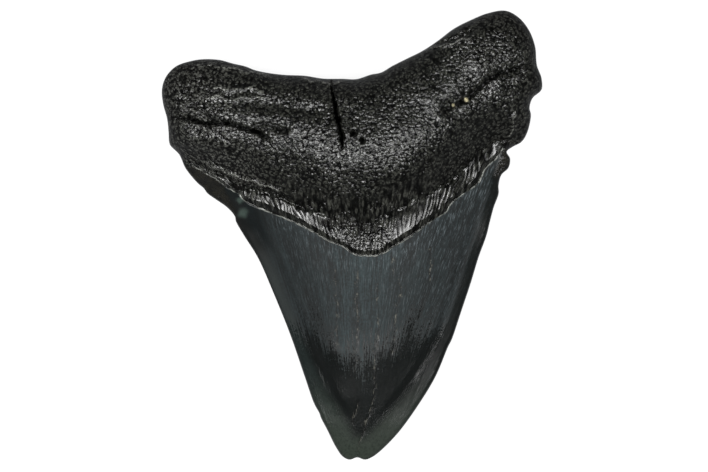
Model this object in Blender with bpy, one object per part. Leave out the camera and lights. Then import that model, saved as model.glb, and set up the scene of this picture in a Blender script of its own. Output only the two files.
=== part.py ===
"""A megalodon tooth, 96 mm long and 81 mm wide, lying on its labial (outer) face.

Root and crown grew together, so the tooth is one closed solid. It is built as two sheets, the lingual
face above and the labial face below, that share one outline. +X runs across the tooth, +Y from the tip
of the crown to the root, and +Z up through its thickness. Lengths below are millimetres.
"""
import math

import bmesh
import bpy
import numpy as np
from mathutils import Vector, noise
from mathutils.geometry import delaunay_2d_cdt

MM = 0.001

# ---------------------------------------------------------------------------------------------------
# Driving dimensions
# ---------------------------------------------------------------------------------------------------
OUTLINE_SPACING = 1.25          # between the points along the outline
LINGUAL_SPACING = 1.28          # between the points of the lingual face
LABIAL_SPACING = 2.5            # between the points of the labial face, which is plainer

ROOT_EDGE_RADIUS = 5.5          # how far in the rounding of the root's lingual edge reaches
LINGUAL_EDGE_POWER = 2.6        # 2 would round that edge as an ellipse, and more makes it blunter
ROOT_LABIAL_RADIUS = 6.0        # the same on its labial edge
CUTTING_EDGE_RADIUS = 0.6       # the worn cutting edge of the crown
LABIAL_EDGE_WIDTH = 5.0         # where the labial face of the crown curves up to its cutting edge
SHOULDER_BLEND = 6.0            # length over which a cutting edge turns into a root edge

BLADE_WIDTH = 3.1               # the thin blade along each side of the crown, at its base
BLADE_WIDTH_TIP = 5.2           # the same near the tip, where the blades nearly meet
BLADE_DROP = 0.5                # how far the blade lies below the body of the crown
BEVEL_WIDTH = 1.7               # the steep band between the blade and the body

ENAMEL_STEP = 0.42              # height of the enamel's lip over the bourlette
ENAMEL_STEP_WIDTH = 0.45
BOURLETTE_RISE = 0.85           # how much the bourlette bulges between its two edges
BOURLETTE_BROW = 0.42           # how far up the band it is highest, as a share of its width
BOURLETTE_WIDTH = 4.2           # where the band is wider than this, it bulges less
FOOT_GROOVE_DEPTH = 0.5         # the crease where the root bulge meets the bourlette
FOOT_GROOVE_WIDTH = 0.8

LABIAL_ENAMEL_STEP = 0.45       # the enamel edge of the labial face
LUMP_HEIGHT = 0.4               # uneven lumps all over the root
LUMP_LENGTH = 5.5
RELIEF_INSET = 1.2              # how far in from the outline the root's relief starts
VALLEY_FADE = 0.15              # share of its length over which a valley dies out at each end

CRACK_DEPTH = 2.2               # the crack that runs down the middle of the root
CRACK_END_DEPTH = 0.8           # its depth where it is narrowest
CUTTER_CLEARANCE = 1.5          # how far a cutter stands out of the surface

OUTER_ROW = 0.35                # the first row of points inside the outline, on the lingual face
LABIAL_ROWS = [0.25, 1.1, 2.6, 4.6]     # the rows of points inside it on the labial face
ENAMEL_ROWS = [-0.24, 0.24]     # rows of points beside the enamel line, above and below its lip
FOOT_ROWS = [-0.5, 0.2, 0.9]    # rows beside the foot of the root bulge
NARROW_VALLEY = 1.0             # narrower valleys have rows of points on both slopes
ROW_CLEARANCE = 0.42            # the least distance from a point to those of the rows before it
LATTICE_SHARE = 0.72            # the same for a lattice, as a share of its spacing

# ---------------------------------------------------------------------------------------------------
# Outline, clockwise as seen from above, starting at the foot of the left root lobe
# ---------------------------------------------------------------------------------------------------
LEFT_LOBE = [
    (-39.1, 22.0), (-39.4, 25.0), (-40.2, 28.0), (-40.5, 30.6), (-40.2, 32.6), (-39.3, 34.4),
    (-37.4, 36.2), (-34.6, 37.2), (-31.8, 37.65), (-28.2, 37.5), (-25.2, 36.7), (-22.6, 36.1),
]
ROOT_NOTCH = [
    (-20.9, 35.4), (-18.3, 34.8), (-14.4, 34.3), (-10.0, 34.1), (-6.1, 33.5), (-2.0, 33.45),
    (1.0, 33.4), (4.0, 34.35), (6.2, 34.8), (8.6, 36.2), (12.0, 37.9), (15.0, 39.4),
]
RIGHT_LOBE = [
    (18.2, 41.5), (21.8, 44.2), (26.0, 46.3), (28.8, 47.4), (32.6, 48.0), (35.3, 46.7),
    (37.6, 44.0), (39.0, 40.4), (39.4, 36.4), (40.4, 33.6), (40.4, 31.2), (38.5, 29.4),
    (37.9, 27.4), (38.2, 25.8), (37.4, 22.0), (36.2, 20.1), (34.4, 19.1), (33.1, 18.05),
]
RIGHT_CUTTING_EDGE = [
    (33.85, 16.6), (33.5, 14.6), (32.0, 13.1), (31.4, 10.8), (31.45, 9.2), (30.4, 6.2),
    (29.7, 3.6), (28.8, 0.0), (27.2, -4.4), (25.5, -10.0), (23.5, -16.0), (21.4, -22.2),
    (20.6, -23.8), (18.0, -30.0), (14.6, -35.7), (10.0, -42.1), (6.0, -46.2),
]
WORN_TIP = [(4.2, -47.5), (2.8, -48.0), (1.1, -47.5), (-0.5, -48.0), (-2.0, -47.3), (-3.5, -45.2)]
LEFT_CUTTING_EDGE = [
    (-5.2, -41.8), (-6.7, -38.9), (-7.0, -38.0), (-8.1, -36.0), (-10.2, -30.0), (-13.3, -21.0),
    (-16.8, -12.3), (-20.2, -4.6), (-23.2, 0.2), (-24.9, 3.2), (-25.1, 4.2),
]
LEFT_SHOULDER = [
    (-26.7, 6.1), (-29.3, 7.95), (-31.0, 9.2), (-31.8, 10.3), (-33.0, 11.3), (-35.6, 14.5),
    (-36.9, 17.4), (-38.8, 19.4), (-39.05, 20.4),
]

# ---------------------------------------------------------------------------------------------------
# Lines on the lingual face
# ---------------------------------------------------------------------------------------------------
ENAMEL_LINE = [                 # where the enamel of the crown ends, a wide V
    (-34.0, 15.0), (-30.5, 13.0), (-28.1, 11.6), (-25.9, 9.9), (-24.0, 8.9), (-22.8, 7.4),
    (-20.6, 6.3), (-16.6, 4.7), (-12.5, 3.0), (-8.5, 1.0), (-4.5, -1.3), (-2.3, -2.0),
    (0.0, -3.7), (2.1, -4.2), (5.0, -4.15), (6.8, -3.7), (8.3, -2.6), (11.8, -0.5),
    (14.5, 1.4), (18.5, 4.2), (19.8, 4.8), (20.6, 6.2), (22.2, 7.9), (24.9, 9.7),
    (27.1, 11.5), (28.4, 14.4), (30.5, 16.2), (32.2, 18.6),
]
BOURLETTE_TOP = [               # the foot of the root bulge, above the bourlette
    (-33.6, 15.4), (-29.0, 13.2), (-25.5, 11.4), (-21.4, 9.6), (-17.0, 8.5), (-13.2, 7.0),
    (-10.0, 5.6), (-7.4, 4.7), (-3.5, 4.1), (1.0, 3.9), (5.5, 3.9), (8.0, 4.6), (10.7, 6.1),
    (13.5, 7.4), (16.6, 8.8), (19.5, 10.5), (22.0, 12.2), (24.2, 14.6), (26.4, 17.2), (30.6, 20.0),
]
FOOT_LEDGE = [(-32.6, 15.9), (-28.6, 14.3), (-25.9, 13.3), (-23.5, 12.3), (-18.7, 10.9), (-14.5, 9.9)]
LEFT_CREVICE = [
    (-38.6, 24.7), (-35.8, 24.9), (-33.6, 24.6), (-31.6, 23.9), (-28.0, 23.8), (-26.0, 23.7),
    (-22.4, 22.6), (-20.0, 22.0), (-18.2, 20.7), (-16.6, 19.7),
]
CREVICE_BRANCH = [(-34.2, 27.7), (-32.4, 26.8), (-30.4, 25.6), (-28.4, 24.6)]
CREVICE_TAIL = [(-21.4, 22.9), (-18.4, 23.7), (-15.5, 22.9), (-13.2, 21.9)]
LOBE_RIDGE_UPPER = [(-31.0, 31.6), (-28.0, 31.3), (-25.5, 30.8), (-22.4, 31.3), (-18.5, 30.6)]
LOBE_RIDGE_LOWER = [(-33.4, 29.7), (-29.6, 29.5), (-26.3, 28.9), (-21.0, 29.1), (-17.5, 29.2)]
LOBE_VALLEY = [(-20.5, 27.6), (-16.5, 27.4), (-12.5, 26.9), (-9.0, 26.1), (-5.6, 25.6)]
RIGHT_GROOVE = [
    (38.4, 36.4), (34.5, 35.4), (30.5, 34.0), (27.7, 32.0), (25.6, 30.2), (23.2, 28.4),
    (21.0, 27.2), (17.6, 25.9),
]
RIGHT_LEDGE = [(34.2, 26.2), (34.4, 24.0), (34.2, 22.2), (32.8, 20.6)]
LEFT_BASAL_CREASE = [(-34.0, 36.6), (-28.5, 35.9), (-24.6, 35.7), (-22.0, 35.0), (-17.0, 34.1)]
MIDDLE_BASAL_CREASE = [(-11.7, 33.7), (-8.3, 33.0), (-4.2, 32.0), (-1.4, 32.5)]
RIGHT_BASAL_CREASE = [(14.8, 39.0), (17.0, 40.0), (20.6, 40.3), (23.2, 41.5), (26.4, 42.6)]
CRACK = [
    (-4.5, 33.0), (-4.2, 31.2), (-3.85, 29.0), (-3.55, 27.2), (-3.2, 25.4), (-2.7, 23.5),
    (-2.3, 21.8), (-2.05, 20.3), (-2.15, 18.9), (-2.0, 17.8),
]
CRACK_WIDTHS = [0.6, 0.55, 0.65, 0.8, 1.0, 1.2, 1.2, 0.9, 0.6, 0.25]
FORAMINA = [(0.55, 21.4, 0.55), (2.05, 20.15, 0.5)]    # x, y and radius of the two blood-vessel holes

LABIAL_ENAMEL_LINE = [          # the enamel reaches higher on the labial face, in a low arch
    (-37.2, 16.8), (-28.0, 15.6), (-18.0, 17.6), (-8.0, 19.6), (2.0, 20.6), (12.0, 20.4),
    (22.0, 19.4), (33.6, 17.6),
]

# ---------------------------------------------------------------------------------------------------
# Heights of the lingual face (x, y, z). The dome is the full surface, before its edges are rounded
# ---------------------------------------------------------------------------------------------------
ROOT_BASE_HEIGHTS = [
    (-34.0, 35.0, 13.4), (-20.0, 33.0, 16.2), (-2.0, 31.0, 18.2), (12.0, 35.0, 17.6),
    (22.0, 42.0, 16.4), (32.0, 45.5, 14.8),
]
ROOT_CREST_HEIGHTS = [
    (-38.0, 28.0, 14.2), (-30.0, 29.0, 16.4), (-20.0, 26.5, 18.6), (-8.0, 24.0, 20.8),
    (3.0, 21.0, 22.0), (12.0, 25.0, 21.0), (22.0, 32.0, 19.0), (30.0, 39.0, 17.0), (37.0, 39.0, 15.0),
]
ROOT_FLANK_HEIGHTS = [
    (-36.6, 20.8, 13.8), (-28.0, 19.0, 15.8), (-18.0, 16.5, 17.9), (-6.0, 13.5, 20.2),
    (3.0, 12.0, 20.7), (12.0, 14.5, 20.1), (20.0, 19.5, 18.2), (28.0, 26.0, 16.0), (36.0, 31.0, 14.4),
    (35.5, 24.0, 11.4),
]
FOOT_HEIGHTS = [
    (-34.0, 16.0, 8.5), (-28.0, 13.6, 9.7), (-20.0, 10.0, 12.0), (-12.0, 6.6, 13.9), (-4.0, 4.4, 15.2),
    (3.0, 3.9, 15.6), (10.0, 5.8, 14.8), (17.0, 9.4, 13.3), (23.5, 14.2, 10.7), (30.0, 20.0, 8.8),
]
NECK_HEIGHTS = [
    (-30.5, 12.6, 7.6), (-22.4, 6.8, 9.6), (-14.7, 3.7, 11.8), (-6.6, -0.3, 12.8), (3.0, -4.4, 13.1),
    (10.2, -1.6, 12.9), (17.1, 3.1, 11.5), (22.2, 7.7, 9.7), (27.4, 11.9, 7.8), (31.4, 17.4, 6.8),
]
CROWN_SPINE_HEIGHTS = [
    (3.0, -12.0, 11.7), (2.8, -20.0, 10.2), (2.4, -28.0, 8.6), (1.9, -36.0, 6.7), (1.5, -42.0, 5.3),
    (1.1, -46.0, 4.2),
]
CROWN_FLANK_HEIGHTS = [         # half way from the spine to the blades
    (-9.5, -6.0, 11.0), (16.0, -5.0, 11.0), (-6.5, -15.0, 9.5), (12.5, -15.0, 9.5),
    (-4.2, -25.0, 8.0), (9.4, -25.0, 8.0), (-2.0, -35.0, 6.3), (6.2, -35.0, 6.3),
]
CROWN_SIDE_HEIGHTS = [          # along the inner edge of each blade
    (-20.0, 2.0, 6.3), (25.0, 3.0, 6.3), (-14.5, -8.0, 6.1), (21.6, -9.0, 6.1), (-10.6, -18.0, 5.7),
    (18.4, -18.0, 5.7), (-7.6, -27.0, 5.2), (14.4, -27.0, 5.2), (-4.4, -36.0, 4.8), (9.4, -36.5, 4.8),
]
BLADE_HEIGHTS = [               # along the cutting edges and shoulders
    (-33.0, 12.4, 5.6), (-27.0, 7.2, 4.9), (-23.2, 0.2, 4.2), (-17.4, -11.0, 3.7), (-12.3, -24.0, 3.4),
    (-7.6, -37.0, 3.2), (-3.5, -45.2, 3.1), (1.1, -47.8, 3.1), (6.0, -46.2, 3.1), (13.0, -38.0, 3.2),
    (19.3, -27.0, 3.4), (24.3, -13.5, 3.7), (28.8, 0.0, 4.2), (31.0, 8.5, 4.9), (33.4, 15.4, 5.6),
]
RIM_HEIGHTS = [                 # the outline itself, where the two faces meet
    (-39.1, 22.0, 7.4), (-40.4, 30.6, 8.4), (-33.0, 37.6, 8.8), (-20.0, 35.1, 9.4), (0.0, 33.4, 9.8),
    (15.0, 39.4, 9.6), (32.6, 48.0, 9.0), (39.2, 39.0, 8.6), (40.4, 32.4, 8.0), (38.0, 26.0, 6.6),
    (36.2, 20.1, 5.2), (33.4, 17.0, 3.9), (31.4, 10.0, 3.0), (28.8, 0.0, 2.3), (24.3, -13.5, 1.9),
    (19.3, -27.0, 1.7), (10.0, -42.1, 1.6), (1.1, -47.8, 1.6), (-7.6, -37.0, 1.6), (-12.3, -24.0, 1.7),
    (-17.4, -11.0, 1.9), (-24.9, 3.2, 2.4), (-31.0, 9.2, 3.2), (-36.4, 16.0, 5.0),
]
LABIAL_HEIGHTS = [              # of the labial face, whose parts below zero become its flat rests
    (0.0, -40.0, -0.3), (0.0, -25.0, -0.8), (2.0, -8.0, -0.9), (-14.0, 4.0, -0.3), (18.0, 4.0, -0.3),
    (2.0, 12.0, -0.2), (-24.0, 9.0, 0.4), (26.0, 11.0, 0.4), (0.0, 24.0, 1.3), (0.0, 30.0, 2.2),
    (-12.0, 26.0, 0.6), (14.0, 28.0, 0.6), (-28.0, 27.0, -1.1), (-36.0, 28.0, 0.3), (-28.0, 33.0, 0.3),
    (29.0, 34.0, -1.1), (36.0, 37.0, 0.3), (28.0, 42.0, 0.3), (32.0, 25.0, 0.7), (-33.0, 19.0, 0.7),
]


# ---------------------------------------------------------------------------------------------------
# Curves and smooth sheets
# ---------------------------------------------------------------------------------------------------
def curve_piece(before, start, end, after, steps=12):
    """One stretch of a centripetal Catmull-Rom curve, from start up to but not including end."""
    knot_1 = math.sqrt(np.linalg.norm(start - before))
    knot_2 = knot_1 + math.sqrt(np.linalg.norm(end - start))
    knot_3 = knot_2 + math.sqrt(np.linalg.norm(after - end))
    t = np.linspace(knot_1, knot_2, steps, endpoint=False)[:, None]
    first = ((knot_1 - t) * before + t * start) / knot_1
    second = ((knot_2 - t) * start + (t - knot_1) * end) / (knot_2 - knot_1)
    third = ((knot_3 - t) * end + (t - knot_2) * after) / (knot_3 - knot_2)
    lower = ((knot_2 - t) * first + t * second) / knot_2
    upper = ((knot_3 - t) * second + (t - knot_1) * third) / (knot_3 - knot_1)
    return ((knot_2 - t) * lower + (t - knot_1) * upper) / (knot_2 - knot_1)


def smooth_curve(points, spacing, closed=False):
    """A smooth curve through the points, as a polyline with an even spacing."""
    points = np.array(points, dtype=float)
    if closed:
        padded = np.vstack([points[-1], points, points[:2]])
    else:
        padded = np.vstack([2 * points[0] - points[1], points, 2 * points[-1] - points[-2]])
    pieces = [curve_piece(*padded[index:index + 4]) for index in range(len(padded) - 3)]
    dense = np.vstack(pieces + [padded[-2]])
    travelled = np.concatenate([[0.0], np.cumsum(np.linalg.norm(np.diff(dense, axis=0), axis=1))])
    stops = np.linspace(0.0, travelled[-1], max(2, round(travelled[-1] / spacing)) + 1)
    line = np.column_stack([np.interp(stops, travelled, dense[:, axis]) for axis in range(2)])
    return line[:-1] if closed else line


def beside(line, offset):
    """The polyline moved sideways, to its left where the offset is positive."""
    along = np.gradient(line, axis=0)
    along /= np.linalg.norm(along, axis=1)[:, None]
    return line + offset * np.column_stack([-along[:, 1], along[:, 0]])


def measure_to(line, places):
    """Each place's distance to a polyline, and how far along it (0 to 1) the nearest point is."""
    nearest = np.full(len(places), np.inf)
    along = np.zeros(len(places))
    count = len(line) - 1
    for index in range(count):
        start = line[index]
        step = line[index + 1] - start
        offset = places - start
        share = np.clip(offset @ step / (step @ step), 0.0, 1.0)
        distance = np.hypot(*(offset - share[:, None] * step).T)
        closer = distance < nearest
        nearest[closer] = distance[closer]
        along[closer] = (index + share[closer]) / count
    return nearest, along


def thin_plate(*knot_lists):
    """A function giving the height of the smooth sheet that passes through all the (x, y, z) knots."""
    knots = np.array([knot for knots in knot_lists for knot in knots], dtype=float)
    centres = knots[:, :2]

    def influence(places):
        squared = ((places[:, None, :] - centres[None, :, :]) ** 2).sum(axis=2) + 1e-12
        return np.hstack([squared * np.log(squared), np.ones((len(places), 1)), places])

    top = influence(centres)
    plane = np.hstack([np.ones((len(knots), 1)), centres])
    system = np.vstack([top, np.hstack([plane.T, np.zeros((3, 3))])])
    weights = np.linalg.solve(system, np.concatenate([knots[:, 2], np.zeros(3)]))
    return lambda places: influence(places) @ weights


def ease(value):
    """0 below zero, 1 above one, and a smooth step between."""
    value = np.clip(value, 0.0, 1.0)
    return value * value * (3.0 - 2.0 * value)


def valley(line, places, width, depth):
    """Depth of a rounded valley along a line, dying out at both of its ends."""
    distance, along = measure_to(line, places)
    fade = ease(along / VALLEY_FADE) * ease((1.0 - along) / VALLEY_FADE)
    return depth * fade * np.exp(-(distance / width) ** 2)


def signed_distance(line, places):
    """Distance to a line that crosses the tooth, positive on its root side."""
    side = np.where(places[:, 1] > np.interp(places[:, 0], line[:, 0], line[:, 1]), 1.0, -1.0)
    return side * measure_to(line, places)[0]


# ---------------------------------------------------------------------------------------------------
# The shape of the tooth
# ---------------------------------------------------------------------------------------------------
OUTLINE = smooth_curve(
    LEFT_LOBE + ROOT_NOTCH + RIGHT_LOBE + RIGHT_CUTTING_EDGE + WORN_TIP + LEFT_CUTTING_EDGE
    + LEFT_SHOULDER, OUTLINE_SPACING, closed=True)[::-1]
ENAMEL_EDGE = smooth_curve(ENAMEL_LINE, 1.2)
FOOT_EDGE = smooth_curve(BOURLETTE_TOP, 1.2)
LABIAL_ENAMEL_EDGE = smooth_curve(LABIAL_ENAMEL_LINE, 2.4)
CLOSED_OUTLINE = np.vstack([OUTLINE, OUTLINE[:1]])
DOME = thin_plate(ROOT_BASE_HEIGHTS, ROOT_CREST_HEIGHTS, ROOT_FLANK_HEIGHTS, FOOT_HEIGHTS,
                  NECK_HEIGHTS, CROWN_SPINE_HEIGHTS, CROWN_FLANK_HEIGHTS, CROWN_SIDE_HEIGHTS,
                  BLADE_HEIGHTS)
RIM = thin_plate(RIM_HEIGHTS)
LABIAL_SHEET = thin_plate(LABIAL_HEIGHTS)

# Lines, width and depth of every valley on the root. A negative depth makes a ridge.
ROOT_VALLEYS = [
    (smooth_curve(LEFT_CREVICE, 1.3), 1.5, 0.9),
    (smooth_curve(LEFT_CREVICE, 1.3), 0.5, 1.0),
    (smooth_curve(CREVICE_BRANCH, 1.3), 0.8, 0.7),
    (smooth_curve(CREVICE_TAIL, 1.3), 1.4, 0.7),
    (smooth_curve(LOBE_VALLEY, 1.3), 1.9, 0.7),
    (smooth_curve(LOBE_RIDGE_UPPER, 1.3), 0.8, -0.45),
    (smooth_curve(LOBE_RIDGE_LOWER, 1.3), 0.8, -0.45),
    (smooth_curve(FOOT_LEDGE, 1.3), 0.6, -0.5),
    (smooth_curve(RIGHT_GROOVE, 1.3), 1.9, 1.1),
    (smooth_curve(RIGHT_GROOVE, 1.3), 0.7, 0.5),
    (smooth_curve(RIGHT_LEDGE, 1.3), 0.7, -0.5),
    (smooth_curve(LEFT_BASAL_CREASE, 1.3), 0.6, -0.35),
    (smooth_curve(MIDDLE_BASAL_CREASE, 1.3), 0.6, -0.4),
    (smooth_curve(RIGHT_BASAL_CREASE, 1.3), 0.7, -0.5),
]


def lingual_edge(inset, radius):
    """Rise from 0 at the outline to 1 at the radius, along a blunt superellipse."""
    share = 1.0 - np.clip(inset / radius, 0.0, 1.0)
    return (1.0 - share ** LINGUAL_EDGE_POWER) ** (1.0 / LINGUAL_EDGE_POWER)


def labial_edge(inset, radius, roundness):
    """The same for the labial face: a parabola at roundness 0, an ellipse at 1."""
    share = 1.0 - np.clip(inset / radius, 0.0, 1.0)
    return (1.0 - share ** 2) ** (1.0 - 0.5 * roundness)


def root_share(above_enamel):
    """1 where the edge is a rounded root edge, 0 where it is a cutting edge."""
    return ease(above_enamel / SHOULDER_BLEND + 0.25)


def lumps(places):
    """Uneven swellings of the root, from -1 to 1."""
    return np.array([noise.noise(Vector((x, y, 0.0)) / LUMP_LENGTH) for x, y in places])


def blade(places, inset, above_enamel):
    """Drop from the body of the crown to the thin blade along its cutting edge."""
    width = np.interp(places[:, 1], [-42.0, -20.0], [BLADE_WIDTH_TIP, BLADE_WIDTH])
    on_crown = ease(-above_enamel / 3.0)
    return BLADE_DROP * on_crown * (1.0 - ease((inset - width) / BEVEL_WIDTH))


def bourlette(places, above_enamel):
    """Swelling of the band between the root bulge and the enamel: steep below, nearly level above."""
    above_foot = signed_distance(FOOT_EDGE, places)
    inside = (above_enamel > 0.0) & (above_foot < 0.0)
    width = np.maximum(above_enamel - above_foot, 1.0)
    share = np.where(inside, above_enamel / width, 0.0)
    climb = ease(share / BOURLETTE_BROW)
    fall = np.clip((1.0 - share) / (1.0 - BOURLETTE_BROW), 0.0, 1.0)
    rise = BOURLETTE_RISE * np.minimum(1.0, BOURLETTE_WIDTH / width)
    crease = FOOT_GROOVE_DEPTH * np.exp(-((above_foot - 0.2) / FOOT_GROOVE_WIDTH) ** 2)
    return rise * climb * fall - crease


def lingual_height(places):
    """Height of the upper face."""
    inset = measure_to(CLOSED_OUTLINE, places)[0]
    above_enamel = signed_distance(ENAMEL_EDGE, places)
    root = root_share(above_enamel)
    dome = DOME(places) + bourlette(places, above_enamel) - blade(places, inset, above_enamel)
    dome += ENAMEL_STEP * (1.0 - ease(above_enamel / ENAMEL_STEP_WIDTH + 0.5))
    radius = CUTTING_EDGE_RADIUS + (ROOT_EDGE_RADIUS - CUTTING_EDGE_RADIUS) * root
    rim = RIM(places)
    relief = LUMP_HEIGHT * root * lumps(places)
    for line, width, depth in ROOT_VALLEYS:
        relief -= valley(line, places, width, depth)
    return rim + (dome - rim) * lingual_edge(inset, radius) + relief * ease(inset / RELIEF_INSET)


def labial_height(places):
    """Height of the lower face, which is flat where it rests."""
    inset = measure_to(CLOSED_OUTLINE, places)[0]
    root = root_share(signed_distance(ENAMEL_EDGE, places))
    above_enamel = signed_distance(LABIAL_ENAMEL_EDGE, places)
    sheet = LABIAL_SHEET(places) + LABIAL_ENAMEL_STEP * ease(above_enamel / 1.2)
    radius = LABIAL_EDGE_WIDTH + (ROOT_LABIAL_RADIUS - LABIAL_EDGE_WIDTH) * root
    rim = RIM(places)
    rise = (rim - sheet) * (1.0 - labial_edge(inset, radius, root))
    return np.maximum(sheet + rise, 0.0)


# ---------------------------------------------------------------------------------------------------
# Meshes
# ---------------------------------------------------------------------------------------------------
def thinned(groups):
    """Points of several groups, each kept only where no kept point is nearer than its group allows."""
    kept = []
    cells = {}
    for points, clearance in groups:
        for x, y in points:
            column = math.floor(x / LABIAL_SPACING)
            row = math.floor(y / LABIAL_SPACING)
            near = [cells.get((column + i, row + j), ()) for i in (-1, 0, 1) for j in (-1, 0, 1)]
            if all(math.hypot(x - u, y - v) >= clearance for cell in near for u, v in cell):
                kept.append((x, y))
                cells.setdefault((column, row), []).append((x, y))
    return np.array(kept)


def lattice(spacing):
    """A triangular lattice over the whole tooth."""
    left, bottom = OUTLINE.min(axis=0)
    right, top = OUTLINE.max(axis=0)
    rows = np.arange(bottom, top, spacing * math.sqrt(0.75))
    columns = np.arange(left, right, spacing)
    return [(x + 0.5 * spacing * (index % 2), y) for index, y in enumerate(rows) for x in columns]


def inset_points(points, smallest):
    """The points that lie on the tooth, at least a smallest distance in from its outline."""
    points = np.array(points)
    distance = measure_to(CLOSED_OUTLINE, points)[0]
    inside = np.zeros(len(points), dtype=bool)
    for (x0, y0), (x1, y1) in zip(CLOSED_OUTLINE[:-1], CLOSED_OUTLINE[1:]):
        if y0 != y1:
            crosses = (points[:, 1] < y0) != (points[:, 1] < y1)
            reach = x0 + (points[:, 1] - y0) * (x1 - x0) / (y1 - y0)
            inside ^= crosses & (points[:, 0] < reach)
    return points[inside & (distance >= smallest)]


def edge_rings(distances):
    """Points inside the outline, in rows at the given distances from it."""
    rings = []
    for distance in distances:
        ring = beside(np.vstack([OUTLINE[-1], OUTLINE, OUTLINE[:1]]), distance)[1:-1]
        rings.append(inset_points(ring, 0.97 * distance))
    return rings


def lingual_points():
    """Points of the upper face: the outline, rows along each edge and line, and a lattice."""
    lines = [beside(ENAMEL_EDGE, offset) for offset in ENAMEL_ROWS]
    lines += [beside(FOOT_EDGE, offset) for offset in FOOT_ROWS]
    for line, width, _ in ROOT_VALLEYS:
        slopes = (-width, width) if width < NARROW_VALLEY else ()
        lines += [line] + [beside(line, offset) for offset in slopes]
    outer_row, *inner_rows = edge_rings([OUTER_ROW, 1.3, BLADE_WIDTH, BLADE_WIDTH + BEVEL_WIDTH])
    groups = [(OUTLINE, 0.0)]
    groups += [(inset_points(line, 0.5), ROW_CLEARANCE) for line in lines]
    groups.append((outer_row, 0.3))
    groups += [(row, 0.8) for row in inner_rows]
    groups.append((inset_points(lattice(LINGUAL_SPACING), 1.0), LATTICE_SHARE * LINGUAL_SPACING))
    return thinned(groups)


def labial_points():
    """Points of the lower face: the outline, rows along its edge, and a wider lattice."""
    groups = [(OUTLINE, 0.0)]
    outer_row, *inner_rows = edge_rings(LABIAL_ROWS)
    groups.append((outer_row, 0.2))
    groups += [(row, 0.9) for row in inner_rows]
    groups.append((inset_points(lattice(LABIAL_SPACING), 1.2), LATTICE_SHARE * LABIAL_SPACING))
    return thinned(groups)


def triangulated(points):
    """Triangles between the points and inside the outline, with the outline's points first."""
    coordinates = [Vector(point) for point in points]
    boundary = list(range(len(OUTLINE)))
    _, _, triangles, sources, _, _ = delaunay_2d_cdt(coordinates, [], [boundary], 1, 1e-6)
    number_of = [source[0] for source in sources]
    return [tuple(number_of[corner] for corner in triangle) for triangle in triangles]


def tooth_mesh():
    """The closed mesh: upper and lower face, sewn together along the outline."""
    upper = lingual_points()
    lower = labial_points()
    rim_count = len(OUTLINE)
    upper_height = lingual_height(upper)
    lower_height = labial_height(lower)
    upper_height[:rim_count] = RIM(OUTLINE)
    top = np.column_stack([upper, upper_height])
    bottom = np.column_stack([lower, lower_height])[rim_count:]
    faces = triangulated(upper)
    shift = len(upper) - rim_count
    for triangle in triangulated(lower):
        faces.append(tuple(corner if corner < rim_count else corner + shift for corner in triangle[::-1]))
    mesh = bpy.data.meshes.new("tooth")
    mesh.from_pydata((np.vstack([top, bottom]) * MM).tolist(), [], faces)
    mesh.validate()
    return mesh


# ---------------------------------------------------------------------------------------------------
# Objects
# ---------------------------------------------------------------------------------------------------
def clear_scene():
    for item in list(bpy.data.objects):
        bpy.data.objects.remove(item)


def fossil_material():
    """Black, polished fossil dentine and enamel."""
    material = bpy.data.materials.new("black_fossil")
    material.use_nodes = True
    shader = material.node_tree.nodes["Principled BSDF"]
    shader.inputs["Base Color"].default_value = (0.022, 0.024, 0.026, 1.0)
    shader.inputs["Roughness"].default_value = 0.35
    shader.inputs["Metallic"].default_value = 0.0
    return material


def add_object(name, mesh):
    item = bpy.data.objects.new(name, mesh)
    bpy.context.collection.objects.link(item)
    return item


def crack_cutter():
    """A wedge that follows the crack, wide at the surface and sharp at its floor."""
    line = np.array(CRACK)
    surface = lingual_height(line)
    along = np.gradient(line, axis=0)
    along /= np.linalg.norm(along, axis=1)[:, None]
    across = np.column_stack([-along[:, 1], along[:, 0]])
    reach = np.array(CRACK_WIDTHS)[:, None] / 2.0 * (1.0 + CUTTER_CLEARANCE / CRACK_DEPTH)
    depth = np.interp(CRACK_WIDTHS, [0.25, 0.8], [CRACK_END_DEPTH, CRACK_DEPTH])
    sides = [np.column_stack([line + sign * reach * across, surface + CUTTER_CLEARANCE])
             for sign in (-1.0, 1.0)]
    floor = np.column_stack([line, surface - depth])
    shape = bmesh.new()
    rows = [[shape.verts.new(Vector(row[index]) * MM) for index in range(len(line))]
            for row in (sides[0], sides[1], floor)]
    for index in range(len(line) - 1):
        for near, far in ((0, 1), (1, 2), (2, 0)):
            shape.faces.new((rows[near][index], rows[near][index + 1], rows[far][index + 1],
                             rows[far][index]))
    shape.faces.new([row[0] for row in rows])
    shape.faces.new([row[-1] for row in reversed(rows)])
    bmesh.ops.recalc_face_normals(shape, faces=shape.faces)
    mesh = bpy.data.meshes.new("crack_cutter")
    shape.to_mesh(mesh)
    shape.free()
    return add_object("crack_cutter", mesh)


def foramen_cutter(number, x, y, radius):
    """A tapered pin for one blood-vessel hole."""
    surface = lingual_height(np.array([[x, y]]))[0]
    shape = bmesh.new()
    length = CRACK_DEPTH + CUTTER_CLEARANCE
    bmesh.ops.create_cone(shape, cap_ends=True, segments=10, radius1=0.5 * radius * MM,
                          radius2=1.4 * radius * MM, depth=length * MM)
    mesh = bpy.data.meshes.new("foramen_cutter")
    shape.to_mesh(mesh)
    shape.free()
    cutter = add_object(f"foramen_cutter_{number}", mesh)
    cutter.location = (x * MM, y * MM, (surface + CUTTER_CLEARANCE - length / 2.0) * MM)
    return cutter


def cut(body, cutter):
    cutter.hide_render = True
    cutter.display_type = "WIRE"
    modifier = body.modifiers.new(cutter.name, "BOOLEAN")
    modifier.operation = "DIFFERENCE"
    modifier.solver = "EXACT"
    modifier.object = cutter


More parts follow.
